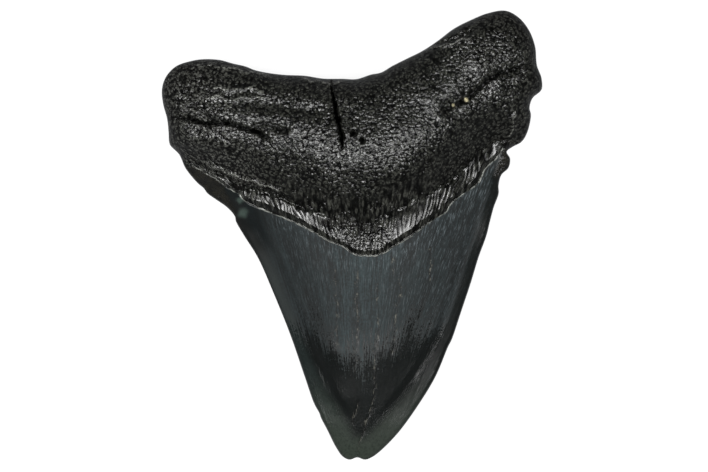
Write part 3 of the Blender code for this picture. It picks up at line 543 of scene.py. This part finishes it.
def near_lines(lines, places, width):
    """1 on any of the lines, fading to 0 beside them and at their ends."""
    mask = np.zeros(len(places))
    for line in lines:
        distance, along = measure_to(line, places)
        fade = fading(along, LINE_FADE, LINE_FADE)
        mask = np.maximum(mask, fade * np.exp(-(distance / width) ** 2))
    return mask


def lingual_face(places):
    """Height of the upper face, and the zones that its colours follow."""
    inset = measure_to(CLOSED_OUTLINE, places)[0]
    wobble = 0.16 * waves(places / 1.1, 2.0)
    ragged = shaken(shaken(places, 0.9, 2.4), 0.4, 0.8)
    above_enamel = signed_distance(ENAMEL_EDGE, places) + wobble
    above_foot = signed_distance(FOOT_EDGE, shaken(places, 0.5, 2.0))
    root = root_share(above_enamel)
    bare = ease(above_enamel / 0.5)
    dome = DOME(places) + bourlette(fan(places), above_enamel, above_foot)
    dome -= blade(places, inset, above_enamel)
    dome += ENAMEL_STEP * (1.0 - ease(above_enamel / ENAMEL_STEP_WIDTH + 0.5))
    radius = CUTTING_EDGE_RADIUS + (ROOT_EDGE_RADIUS - CUTTING_EDGE_RADIUS) * root
    rim = RIM(places)
    lumps = waves(places / LUMP_LENGTH)
    hollow = sum(valley(line, ragged, width, depth) for line, width, depth in ROOT_VALLEYS)
    jagged = shaken(places, 0.5, 0.9)
    hollow += sum(crevice(line, jagged, width, depth) for line, width, depth in ROOT_CREVICES)
    in_band = ease(above_enamel / 0.8) * (1.0 - ease((above_foot + 0.5) / 2.0))
    furrows = ease(above_enamel / 0.8) * (1.0 - ease(above_foot / 3.0)) * striae(places)
    hollow += foot_crease(places, above_foot)
    skin = bare * (1.0 - in_band) * (grain(places) + pores(places))
    cuts = crack_depth(jagged) + foramen_depth(shaken(places, 0.3, 0.7))
    cracks = near_lines(CROWN_CRACK_LINES, shaken(places, 0.35, 1.2), CROWN_CRACK_WIDTH)
    cracks *= 1.0 - bare
    # Where a painted highlight runs along the narrow ridges.
    ridge_highlight = near_lines(HIGHLIGHTED_RIDGES, ragged, RIDGE_HIGHLIGHT_WIDTH)
    flutes = FLUTE_DEPTH * fan_waves(places, FLUTE_LENGTH, 30.0, 4.0)
    relief = LUMP_HEIGHT * root * (1.0 - in_band) * lumps
    relief -= hollow + STRIA_DEPTH * furrows + skin + cuts
    relief += (1.0 - bare) * flutes - CROWN_CRACK_DEPTH * cracks
    height = rim + (dome - rim) * lingual_edge(inset, radius) + relief * ease(inset / RELIEF_INSET)
    zones = {"enamel": above_enamel, "foot": above_foot, "inset": inset, "fan": fan(places),
             "hollow": hollow + cuts, "crack": cracks, "stria": furrows, "ridge_highlight": ridge_highlight,
             "sand": spots(SAND_GRAINS, places), "green_spot": spots(GREEN_SPOTS, shaken(places, 0.5, 1.0))}
    return height, zones


def labial_face(places):
    """Height of the lower face, which is flat where it rests, and its zones."""
    inset = measure_to(CLOSED_OUTLINE, places)[0]
    root = root_share(signed_distance(ENAMEL_EDGE, places))
    wobble = 0.3 * waves(places / 2.2, 2.0)
    above_enamel = signed_distance(LABIAL_ENAMEL_EDGE, places) + wobble
    sheet = LABIAL_SHEET(places) + LABIAL_ENAMEL_STEP * ease(above_enamel / 0.7)
    radius = LABIAL_EDGE_WIDTH + (ROOT_LABIAL_RADIUS - LABIAL_EDGE_WIDTH) * root
    rim = RIM(places)
    rise = (rim - sheet) * (1.0 - labial_edge(inset, radius, root))
    bare = ease(above_enamel / 0.7)
    relief = bare * (grain(places) + pores(places)) * ease(inset / RELIEF_INSET)
    height = np.maximum(sheet + rise + relief, 0.0)
    zones = {"enamel": above_enamel, "foot": np.full(len(places), 20.0), "inset": inset,
             "fan": fan(places)}
    elsewhere = ("hollow", "crack", "stria", "ridge_highlight", "sand", "green_spot")
    zones.update({name: np.zeros(len(places)) for name in elsewhere})
    return height, zones


# ---- The net of points and its mesh ----
def placed(name, data):
    """A new object in the scene."""
    item = bpy.data.objects.new(name, data)
    bpy.context.collection.objects.link(item)
    return item


def inside_points(points, smallest):
    """The points that lie on the tooth, at least a smallest distance in from its outline."""
    points = np.array(points)
    inside = np.zeros(len(points), dtype=bool)
    for (x0, y0), (x1, y1) in zip(CLOSED_OUTLINE[:-1], CLOSED_OUTLINE[1:]):
        if y0 != y1:
            crosses = (points[:, 1] < y0) != (points[:, 1] < y1)
            reach = x0 + (points[:, 1] - y0) * (x1 - x0) / (y1 - y0)
            inside ^= crosses & (points[:, 0] < reach)
    points = points[inside]
    return points[measure_to(CLOSED_OUTLINE, points)[0] >= smallest]


def lattice(spacing):
    """A triangular lattice over the whole tooth."""
    left, bottom = OUTLINE.min(axis=0)
    right, top = OUTLINE.max(axis=0)
    rows = np.arange(bottom, top, spacing * math.sqrt(0.75))
    columns = np.arange(left, right, spacing)
    x, y = np.meshgrid(columns, rows)
    x[1::2] += 0.5 * spacing
    return inside_points(np.column_stack([x.ravel(), y.ravel()]), 0.35 * spacing)


def edge_rings(distances):
    """Points inside the outline, in rows at the given distances from it."""
    rings = []
    for distance in distances:
        ring = beside(np.vstack([OUTLINE[-1], OUTLINE, OUTLINE[:1]]), distance)[1:-1]
        rings.append(inside_points(ring, 0.97 * distance))
    return rings


def thinned(groups):
    """Points of several groups, each kept only where no kept point is nearer than its group allows."""
    cell = max(clearance for _, clearance in groups)
    kept = []
    cells = {}
    for points, clearance in groups:
        for x, y in points.tolist():
            column = math.floor(x / cell)
            row = math.floor(y / cell)
            near = [place for i in (-1, 0, 1) for j in (-1, 0, 1)
                    for place in cells.get((column + i, row + j), ())]
            if all((x - u) ** 2 + (y - v) ** 2 >= clearance ** 2 for u, v in near):
                kept.append((x, y))
                cells.setdefault((column, row), []).append((x, y))
    return np.array(kept)


def lingual_points():
    """Points of the upper face: the outline, rows along each edge and line, and two lattices."""
    enamel = steps(ENAMEL_EDGE, LINE_SPACING)
    rows = [beside(enamel, offset) for offset in ENAMEL_ROWS]
    crack = steps(CRACK_LINE, LINE_SPACING)
    rows += [beside(crack, offset) for offset in CRACK_ROWS]
    for line in CROWN_CRACK_LINES:
        crown_crack = steps(line, LINE_SPACING)
        rows += [beside(crown_crack, offset) for offset in CROWN_CRACK_ROWS]
    groups = [(OUTLINE, 0.0)]
    groups += [(inside_points(row, 0.25), ROW_CLEARANCE) for row in rows]
    groups += [(ring, RING_CLEARANCE) for ring in edge_rings([0.08, 0.24, 0.5])]
    band_net = lattice(BAND_SPACING)
    root_net = lattice(ROOT_SPACING)
    crown_net = lattice(CROWN_SPACING)
    above_enamel = signed_distance(ENAMEL_EDGE, band_net) > 0.0
    on_band = above_enamel & (signed_distance(FOOT_EDGE, band_net) < 1.2)
    on_root = signed_distance(ENAMEL_EDGE, root_net) > 0.0
    on_crown = signed_distance(ENAMEL_EDGE, crown_net) <= 0.0
    groups.append((band_net[on_band], NET_CLEARANCE * BAND_SPACING))
    groups.append((root_net[on_root], NET_CLEARANCE * ROOT_SPACING))
    groups.append((crown_net[on_crown], NET_CLEARANCE * CROWN_SPACING))
    return thinned(groups)


def labial_points():
    """Points of the lower face: the outline, rows along its edge, and a wider lattice."""
    groups = [(OUTLINE, 0.0)]
    groups += [(ring, RING_CLEARANCE) for ring in edge_rings([0.08, 0.24])]
    groups += [(ring, WIDE_RING_CLEARANCE) for ring in edge_rings([0.6])]
    groups.append((lattice(LABIAL_SPACING), NET_CLEARANCE * LABIAL_SPACING))
    return thinned(groups)


def triangulated(points):
    """Triangles between the points and inside the outline, with the outline's points first."""
    coordinates = [Vector(point) for point in points]
    boundary = list(range(len(OUTLINE)))
    _, _, triangles, sources, _, _ = delaunay_2d_cdt(coordinates, [], [boundary], 1, 1e-6)
    number_of = [source[0] for source in sources]
    return [tuple(number_of[corner] for corner in triangle) for triangle in triangles]


def fitted(vertices):
    """Layout millimetres to metres in the frame, kept inside the solid's box."""
    low, high = [np.array(corner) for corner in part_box("tooth")]
    middle = (OUTLINE.min(axis=0) + OUTLINE.max(axis=0)) / 2.0
    vertices = (vertices - [middle[0], middle[1], 0.0]) * MM
    return np.clip(vertices, low, high)


def tooth_surface():
    """The tooth's whole surface, one closed mesh, with its zones as point attributes."""
    upper = lingual_points()
    lower = labial_points()
    rim_count = len(OUTLINE)
    upper_height, upper_zones = lingual_face(upper)
    lower_height, lower_zones = labial_face(lower)
    upper_height[:rim_count] = RIM(OUTLINE)
    top = np.column_stack([upper, upper_height])
    bottom = np.column_stack([lower, lower_height])[rim_count:]
    faces = triangulated(upper)
    shift = len(upper) - rim_count
    for triangle in triangulated(lower):
        turned = triangle[::-1]
        faces.append(tuple(corner if corner < rim_count else corner + shift for corner in turned))
    mesh = bpy.data.meshes.new("tooth_surface")
    mesh.from_pydata(fitted(np.vstack([top, bottom])).tolist(), [], faces)
    for name, values in upper_zones.items():
        attribute = mesh.attributes.new(name, "FLOAT", "POINT")
        attribute.data.foreach_set("value", np.concatenate([values, lower_zones[name][rim_count:]]))
    mesh.shade_smooth()
    return placed("tooth_surface", mesh)


# ---- Material ----
class Nodes:
    """The nodes of a material or world, with short calls for usual ones. A value is a socket or number."""

    def __init__(self, owner):
        owner.use_nodes = True
        self.tree = owner.node_tree

    def node(self, kind, inputs, **settings):
        """A new node with its inputs given by name or number."""
        node = self.tree.nodes.new(kind)
        for name, value in settings.items():
            setattr(node, name, value)
        self.put_all(inputs, node)
        return node

    def put_all(self, inputs, node):
        """Sets a node's inputs, given by name or number."""
        for place, value in inputs.items():
            self.put(value, node.inputs[place])

    def put(self, value, socket):
        """Links a socket, or writes a plain value."""
        if isinstance(value, bpy.types.NodeSocket):
            self.tree.links.new(value, socket)
        else:
            socket.default_value = value

    def zone(self, name):
        """A value that the mesh carries at its points."""
        return self.node("ShaderNodeAttribute", {}, attribute_name=name).outputs["Fac"]

    def math(self, operation, *values):
        """One operation carried on over all the values, each with the result so far."""
        result = values[0]
        if len(values) == 1:
            return self.node("ShaderNodeMath", {0: result}, operation=operation).outputs[0]
        for other in values[1:]:
            result = self.node("ShaderNodeMath", {0: result, 1: other}, operation=operation).outputs[0]
        return result

    def total(self, *values):
        """The sum of all the values."""
        return self.math("ADD", *values)

    def product(self, *values):
        """All the values multiplied."""
        return self.math("MULTIPLY", *values)

    def largest(self, *values):
        """The largest of the values."""
        return self.math("MAXIMUM", *values)

    def rest(self, share):
        """What a share leaves over of one."""
        return self.math("SUBTRACT", 1.0, share)

    def ramp(self, value, low, high, start=0.0, end=1.0):
        """start below low, end above high, and a smooth step between."""
        inputs = {"Value": value, "From Min": low, "From Max": high, "To Min": start, "To Max": end}
        node = self.node("ShaderNodeMapRange", inputs, interpolation_type="SMOOTHSTEP")
        return node.outputs["Result"]

    def noise(self, place, length, detail=2.0, roughness=0.5):
        """Noise from 0 to 1, whose swellings are about so many millimetres long."""
        inputs = {"Vector": place, "Scale": 1.0 / length, "Detail": detail, "Roughness": roughness}
        return self.node("ShaderNodeTexNoise", inputs).outputs["Fac"]

    def pebbles(self, place, length):
        """Distance to the nearest of many scattered points, in lengths."""
        inputs = {"Vector": place, "Scale": 1.0 / length}
        return self.node("ShaderNodeTexVoronoi", inputs).outputs["Distance"]

    def bent(self, place, reach, length):
        """The place moved about by noise."""
        inputs = {"Vector": place, "Scale": 1.0 / length, "Detail": 1.0}
        moved = self.node("ShaderNodeTexNoise", inputs).outputs["Color"]
        centred = self.node("ShaderNodeVectorMath", {0: moved, 1: (0.5, 0.5, 0.5)}, operation="SUBTRACT")
        inputs = {0: centred.outputs[0], 1: (reach, reach, reach), 2: place}
        return self.node("ShaderNodeVectorMath", inputs, operation="MULTIPLY_ADD").outputs[0]

    def stretched(self, place, x=1.0, y=1.0, z=1.0):
        """The place scaled along each axis. A share below 1 draws the noise out."""
        inputs = {0: place, 1: (x, y, z)}
        return self.node("ShaderNodeVectorMath", inputs, operation="MULTIPLY").outputs[0]

    def blend(self, share, first, second):
        """A number between two."""
        return self.node("ShaderNodeMix", {0: share, 2: first, 3: second}).outputs[0]

    def mix(self, share, first, second):
        """A colour between two."""
        inputs = {0: share, 6: first, 7: second}
        return self.node("ShaderNodeMix", inputs, data_type="RGBA").outputs[2]


class ToothNodes(Nodes):
    """The same, with the coordinates that the looks of the tooth follow, in millimetres."""

    def __init__(self, material):
        super().__init__(material)
        metres = self.node("ShaderNodeTexCoord", {}).outputs["Object"]
        self.place = self.stretched(metres, 1.0 / MM, 1.0 / MM, 1.0 / MM)
        self.along = self.node("ShaderNodeSeparateXYZ", {0: self.place}).outputs["Y"]
        self.across = self.zone("fan")
        self.off_centre = self.math("ABSOLUTE", self.across)
        fan_place = self.node("ShaderNodeCombineXYZ", {"X": self.across, "Y": self.along})
        self.fan_place = fan_place.outputs[0]
        self.inset = self.zone("inset")
        self.foot = self.zone("foot")
        self.in_bourlette = self.ramp(self.foot, -0.4, 0.6, 1.0, 0.0)
        self.fine_noise = self.noise(self.place, 0.5, 3.0, 0.75)

    def drawn_noise(self, share, length, detail, roughness=0.5):
        """Noise drawn out along the fan, whose detail down the tooth is the given share of its own."""
        return self.noise(self.stretched(self.fan_place, 1.0, share), length, detail, roughness)


DENTINE = (0.0020, 0.0021, 0.0018, 1.0)
DENTINE_PALE = (0.0050, 0.0052, 0.0043, 1.0)
FLECK_AND_GLINT = (0.038, 0.039, 0.033, 1.0)
PAINTED_HIGHLIGHT = (0.11, 0.112, 0.10, 1.0)
# Near black: painted shade on the root, and the dark of the crown's cracks.
NEAR_BLACK = (0.0006, 0.0006, 0.0005, 1.0)
ENAMEL_DARK = (0.0014, 0.0026, 0.0027, 1.0)
ENAMEL_PALE = (0.0105, 0.0185, 0.0200, 1.0)
ENAMEL_GLINT = (0.045, 0.056, 0.060, 1.0)
ENAMEL_BROWN = (0.0022, 0.0027, 0.0024, 1.0)
SHOULDER_BROWN = (0.0075, 0.0070, 0.0045, 1.0)
LEFT_BLADE = (0.0070, 0.0100, 0.0095, 1.0)
RIGHT_BLADE = (0.0025, 0.0032, 0.0028, 1.0)
TIP_OLIVE = (0.0190, 0.0240, 0.0190, 1.0)
PALE_LIP_AND_HIGHLIGHT = (0.16, 0.165, 0.15, 1.0)
SPOT_GREEN = (0.038, 0.056, 0.047, 1.0)
SAND = (0.42, 0.38, 0.24, 1.0)
CRACK_TAN = (0.20, 0.195, 0.16, 1.0)
IOR = 1.4


def root_pattern(nodes):
    """The pebbles of the root's skin, and the specks of its pale flecks and painted glints, both drawn out
    along the fan near its foot.
    """
    central = nodes.ramp(nodes.off_centre, 10.0, 17.0, 1.0, 0.0)
    near_foot = nodes.ramp(nodes.foot, 2.0, 7.0, 1.0, 0.0)
    near_foot = nodes.product(near_foot, nodes.largest(central, nodes.in_bourlette))
    pebbles = nodes.pebbles(nodes.bent(nodes.place, 0.4, 0.8), 0.72)
    fan_place = nodes.stretched(nodes.fan_place, 1.0, 0.35)
    drawn_pebbles = nodes.pebbles(nodes.bent(fan_place, 0.3, 0.8), 0.6)
    specks = nodes.blend(near_foot, nodes.fine_noise, nodes.drawn_noise(0.28, 0.55, 3.0, 0.75))
    return nodes.blend(near_foot, pebbles, drawn_pebbles), specks


def root_bump(nodes, pebble):
    """Relief of the root's skin: pebbles and grain, and fine hairs towards its foot."""
    flank = nodes.ramp(nodes.off_centre, 4.0, 9.0, 0.4, 1.0)
    smooth = nodes.product(nodes.in_bourlette, flank)
    grains = nodes.product(nodes.noise(nodes.place, 0.52, 1.0), 0.23)
    crinkle = nodes.total(nodes.product(pebble, pebble, -0.17), grains)
    crinkle = nodes.product(crinkle, nodes.ramp(smooth, 0.0, 1.0, 1.0, 0.07))
    crinkle = nodes.product(crinkle, nodes.ramp(nodes.inset, 1.5, 5.0, 0.75, 1.0))
    hair_strength = nodes.ramp(smooth, 0.0, 1.0, 0.3, 0.03)
    hair_strength = nodes.ramp(nodes.foot, 1.0, 7.0, hair_strength, 0.0)
    return nodes.total(crinkle, nodes.product(nodes.drawn_noise(0.10, 0.55, 1.0), hair_strength))


def root_look(nodes):
    """Colour, relief, roughness and shade of the root: black dentine with a pebbled skin."""
    pebble, specks = root_pattern(nodes)
    gap = nodes.ramp(pebble, 0.35, 0.72, 0.0, 0.9)
    stria = nodes.ramp(nodes.zone("stria"), 0.2, 0.9)
    hollow = nodes.zone("hollow")
    colour = nodes.mix(nodes.noise(nodes.place, 7.0, 3.0), DENTINE, DENTINE_PALE)
    # Pale specks, partly the skin's own flecks and partly painted glints. On the left lobe they are paler
    # still, as a painted highlight.
    fleck_and_glint_colour = nodes.mix(nodes.ramp(nodes.across, -22.0, -15.0, 0.5, 0.0), FLECK_AND_GLINT, PAINTED_HIGHLIGHT)
    colour = nodes.mix(nodes.ramp(specks, 0.4, 0.72), colour, fleck_and_glint_colour)
    # Painted shade: darker between the pebbles, in the hollows and in the furrows of the bourlette.
    colour = nodes.mix(nodes.largest(gap, nodes.ramp(hollow, 0.8, 1.6), stria), colour, NEAR_BLACK)
    # A painted highlight along the narrow ridges, broken by noise.
    highlight_share = nodes.product(nodes.zone("ridge_highlight"), nodes.ramp(nodes.fine_noise, 0.42, 0.58))
    colour = nodes.mix(highlight_share, colour, PAINTED_HIGHLIGHT)
    gloss = nodes.ramp(nodes.noise(nodes.place, 3.0, 2.0), 0.3, 0.7, 0.16, 0.26)
    gloss = nodes.ramp(stria, 0.2, 0.8, gloss, 0.35)
    shade = nodes.product(nodes.largest(gap, stria), 0.5)
    shade = nodes.largest(shade, nodes.ramp(hollow, 1.2, 1.9))
    return colour, root_bump(nodes, pebble), gloss, nodes.product(shade, nodes.rest(highlight_share))


def enamel_ground(nodes, mottled, left_corner):
    """Colour of the enamel away from its edges: blue-black mottling with fine pale lines of painted glint.
    """
    middle = nodes.ramp(nodes.off_centre, 3.0, 12.0, 1.0, 0.45)
    middle = nodes.math("SUBTRACT", middle, nodes.product(left_corner, 0.4))
    pale_share = nodes.product(nodes.ramp(mottled, 0.43, 0.6), middle)
    colour = nodes.mix(pale_share, ENAMEL_DARK, ENAMEL_PALE)
    # Painted sheen: the pale lines grow stronger towards the lip, vanish at the far left and are strongest
    # on the right.
    sheen_near_lip = nodes.ramp(nodes.zone("enamel"), -6.0, -0.5, 0.4, 1.0)
    sheen_near_lip = nodes.product(sheen_near_lip, nodes.ramp(nodes.across, -21.0, -15.0))
    sheen_near_lip = nodes.product(sheen_near_lip, nodes.ramp(nodes.across, 2.0, 10.0, 1.0, 1.7))
    glint_lines = nodes.ramp(nodes.drawn_noise(0.12, 0.3, 3.0, 0.8), 0.5, 0.7)
    return nodes.mix(nodes.product(glint_lines, sheen_near_lip), colour, ENAMEL_GLINT)


def blade_colour(nodes):
    """Colour of the thin blades along the cutting edges, olive towards the tip."""
    left = nodes.mix(nodes.ramp(nodes.along, -10.0, 0.0), LEFT_BLADE, ENAMEL_BROWN)
    colour = nodes.mix(nodes.ramp(nodes.across, -6.0, 6.0), left, RIGHT_BLADE)
    return nodes.mix(nodes.ramp(nodes.along, -47.0, -26.0, 1.0, 0.0), colour, TIP_OLIVE)


def worn_shoulders(nodes):
    """1 on the chipped left shoulder and on the nub of the right one."""
    reach = nodes.total(nodes.across, nodes.noise(nodes.place, 2.5, 2.0))
    on_nub = nodes.product(nodes.ramp(nodes.along, 11.5, 13.5), nodes.ramp(nodes.across, 24.0, 25.0))
    return nodes.largest(nodes.ramp(reach, -25.6, -24.2, 1.0, 0.0), on_nub)


def cracked(nodes, colour):
    """The colour with dark cracks in it, filled with tan earth here and there."""
    crack = nodes.zone("crack")
    colour = nodes.mix(nodes.product(crack, 0.8), colour, NEAR_BLACK)
    filled = nodes.ramp(nodes.drawn_noise(0.6, 0.9, 3.0, 0.8), 0.52, 0.64)
    return nodes.mix(nodes.product(crack, filled, 0.42), colour, CRACK_TAN)


def enamel_look(nodes):
    """Colour, relief and roughness of the enamel, which is smoother and browner lower down."""
    streaks = nodes.drawn_noise(0.05, 0.45, 3.0, 0.75)
    clouds = nodes.drawn_noise(0.35, 5.0, 3.0)
    mottled = nodes.total(nodes.product(streaks, 0.45), nodes.product(nodes.fine_noise, 0.3),
                          nodes.product(clouds, 0.25))
    left_corner = nodes.product(nodes.ramp(nodes.across, -23.0, -17.0, 1.0, 0.0),
                                nodes.ramp(nodes.along, -8.0, 0.0))
    uneven = nodes.product(nodes.math("SUBTRACT", mottled, 0.5), 55.0)
    down = nodes.total(nodes.along, uneven, nodes.ramp(nodes.off_centre, 3.0, 17.0, 1.0, -5.0))
    edge_width = nodes.ramp(nodes.along, -42.0, -22.0, 5.6, 2.8)
    at_edge = nodes.ramp(nodes.math("DIVIDE", nodes.inset, edge_width), 0.5, 1.1, 1.0, 0.0)
    on_shoulder = worn_shoulders(nodes)
    wear = nodes.noise(nodes.place, 1.1, 3.0, 0.7)

    colour = enamel_ground(nodes, mottled, left_corner)
    colour = nodes.mix(nodes.ramp(down, -28.5, -19.0, 0.92, 0.0), colour, ENAMEL_BROWN)
    edge_share = nodes.product(at_edge, nodes.ramp(nodes.fine_noise, 0.35, 0.55, 0.6, 1.0))
    colour = nodes.mix(edge_share, colour, blade_colour(nodes))
    worn_colour = nodes.mix(nodes.ramp(wear, 0.35, 0.65), DENTINE, SHOULDER_BROWN)
    colour = nodes.mix(on_shoulder, colour, worn_colour)
    colour = nodes.mix(nodes.product(nodes.zone("green_spot"), 0.7), colour, SPOT_GREEN)
    colour = cracked(nodes, colour)

    dimples = nodes.noise(nodes.place, 0.5, 1.0)
    bump = nodes.total(nodes.product(streaks, 0.08), nodes.product(dimples, 0.02))
    bump = nodes.product(bump, nodes.ramp(at_edge, 0.0, 1.0, 1.0, 0.35))
    bump = nodes.total(bump, nodes.product(on_shoulder, wear, 0.5))

    right_edge = nodes.product(at_edge, nodes.ramp(nodes.across, 0.0, 6.0))
    gloss = nodes.ramp(down, -27.5, -20.5, 0.24, 0.80)
    gloss = nodes.ramp(right_edge, 0.0, 1.0, gloss, 0.3)
    gloss = nodes.ramp(left_corner, 0.0, 1.0, gloss, 0.42)
    gloss = nodes.ramp(on_shoulder, 0.0, 1.0, gloss, 0.3)
    return colour, bump, gloss


def fossil_material():
    """Black fossil dentine on the root, blue-black enamel on the crown, olive at its thin edges."""
    material = bpy.data.materials.new("fossil")
    nodes = ToothNodes(material)
    root_colour, root_relief, root_gloss, shade = root_look(nodes)
    enamel_colour, enamel_relief, enamel_gloss = enamel_look(nodes)
    enamel = nodes.ramp(nodes.zone("enamel"), -0.05, 0.05, 1.0, 0.0)
    colour = nodes.mix(enamel, root_colour, enamel_colour)
    colour = nodes.mix(nodes.zone("sand"), colour, SAND)
    # A pale line in patches along the enamel's edge: partly the bare broken edge, partly a painted
    # highlight.
    lip = nodes.ramp(nodes.math("ABSOLUTE", nodes.zone("enamel")), 0.04, 0.14, 1.0, 0.0)
    lip_patches = nodes.ramp(nodes.noise(nodes.place, 1.6, 2.0), 0.38, 0.58, 0.05, 1.0)
    colour = nodes.mix(nodes.product(lip, lip_patches), colour, PALE_LIP_AND_HIGHLIGHT)
    height = nodes.blend(enamel, root_relief, enamel_relief)
    bump = nodes.node("ShaderNodeBump", {"Strength": 1.0, "Distance": MM, "Height": height})
    nodes.put_all({
        "Base Color": colour,
        "Roughness": nodes.blend(enamel, root_gloss, enamel_gloss),
        # A black metal has no sheen of its own, and so stands for the shade inside a hollow.
        "Metallic": nodes.product(shade, nodes.rest(enamel)),
        "Normal": bump.outputs["Normal"],
        "IOR": IOR,
    }, nodes.tree.nodes["Principled BSDF"])
    return material


# ---- Floor, lights and camera, in metres ----
CAMERA_HEIGHT = 0.9
FRAME_WIDTH = 0.15222           # what the picture takes in at the tooth, from side to side
FRAME_MIDDLE = (0.0004, 0.0)
SENSOR_WIDTH = 36.0             # millimetres, Blender's own

FLOOR_REACH = 4.0
FLOOR_LEVEL = -0.00005          # just under the tooth
FLOOR_GREY = 0.09
FLOOR_GLOW = 0.9                # keeps the ground white under the tooth's shadow
FLOOR_ROUGHNESS = 0.9

SOFTBOX_HEIGHT = 0.9
SOFTBOX_ASIDE = 0.36
SOFTBOX_ALONG = -0.08           # a little towards the tip
SOFTBOX_SIZE = (0.3, 0.4)
LEFT_POWER = 12.4               # watts
RIGHT_POWER = 10.6
SKY_COLOUR = (0.95, 0.97, 1.0, 1.0)
SKY_AT_HORIZON = 0.2            # strength of the sky, which darkens towards its top
SKY_ABOVE = 0.03
SKY_DARK_FROM = 0.6             # how high up that is, 1 being straight above


def floor_material():
    """A rough pale grey that glows a little."""
    material = bpy.data.materials.new("pale_table")
    nodes = Nodes(material)
    nodes.put_all({
        "Base Color": (FLOOR_GREY, FLOOR_GREY, FLOOR_GREY, 1.0),
        "Roughness": FLOOR_ROUGHNESS,
        "Emission Color": (1.0, 1.0, 1.0, 1.0),
        "Emission Strength": FLOOR_GLOW,
    }, nodes.tree.nodes["Principled BSDF"])
    return material


def add_floor():
    """A pale table top, which isn't mirrored in the tooth so that no pale rim runs around it."""
    mesh = bpy.data.meshes.new("floor")
    sides = ((-1, -1), (1, -1), (1, 1), (-1, 1))
    corners = [(x * FLOOR_REACH, y * FLOOR_REACH, FLOOR_LEVEL) for x, y in sides]
    mesh.from_pydata(corners, [], [(0, 1, 2, 3)])
    floor = placed("floor", mesh)
    mesh.materials.append(floor_material())
    floor.visible_glossy = False


def add_softbox(name, aside, power):
    """A soft rectangular light that faces the tooth."""
    light = bpy.data.lights.new(name, "AREA")
    light.shape = "RECTANGLE"
    light.size, light.size_y = SOFTBOX_SIZE
    light.energy = power
    place = Vector((aside, SOFTBOX_ALONG, SOFTBOX_HEIGHT))
    item = placed(name, light)
    item.location = place
    item.rotation_euler = (-place).to_track_quat("-Z", "Y").to_euler()


def add_sky():
    """A dim sky that is lighter near the horizon."""
    world = bpy.data.worlds.new("studio")
    bpy.context.scene.world = world
    nodes = Nodes(world)
    direction = nodes.node("ShaderNodeTexCoord", {}).outputs["Generated"]
    height = nodes.node("ShaderNodeSeparateXYZ", {0: direction}).outputs["Z"]
    inputs = {"Value": height, "From Min": 0.0, "From Max": SKY_DARK_FROM,
              "To Min": SKY_AT_HORIZON, "To Max": SKY_ABOVE}
    strength = nodes.node("ShaderNodeMapRange", inputs).outputs["Result"]
    nodes.put_all({"Color": SKY_COLOUR, "Strength": strength}, nodes.tree.nodes["Background"])


def add_camera():
    """Straight above the tooth, with the tip of its crown towards the bottom of the picture."""
    camera = bpy.data.cameras.new("camera")
    camera.sensor_width = SENSOR_WIDTH
    camera.lens = SENSOR_WIDTH * CAMERA_HEIGHT / FRAME_WIDTH
    camera.clip_start = 0.01
    item = placed("camera", camera)
    item.location = (*FRAME_MIDDLE, CAMERA_HEIGHT)
    bpy.context.scene.camera = item
    bpy.context.scene.view_settings.view_transform = "Standard"


# ---- The scene ----
surface = tooth_surface()
surface.data.materials.append(fossil_material())
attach(surface, "root")
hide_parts("tooth")
add_floor()
add_sky()
add_softbox("left_softbox", -SOFTBOX_ASIDE, LEFT_POWER)
add_softbox("right_softbox", SOFTBOX_ASIDE, RIGHT_POWER)
add_camera()
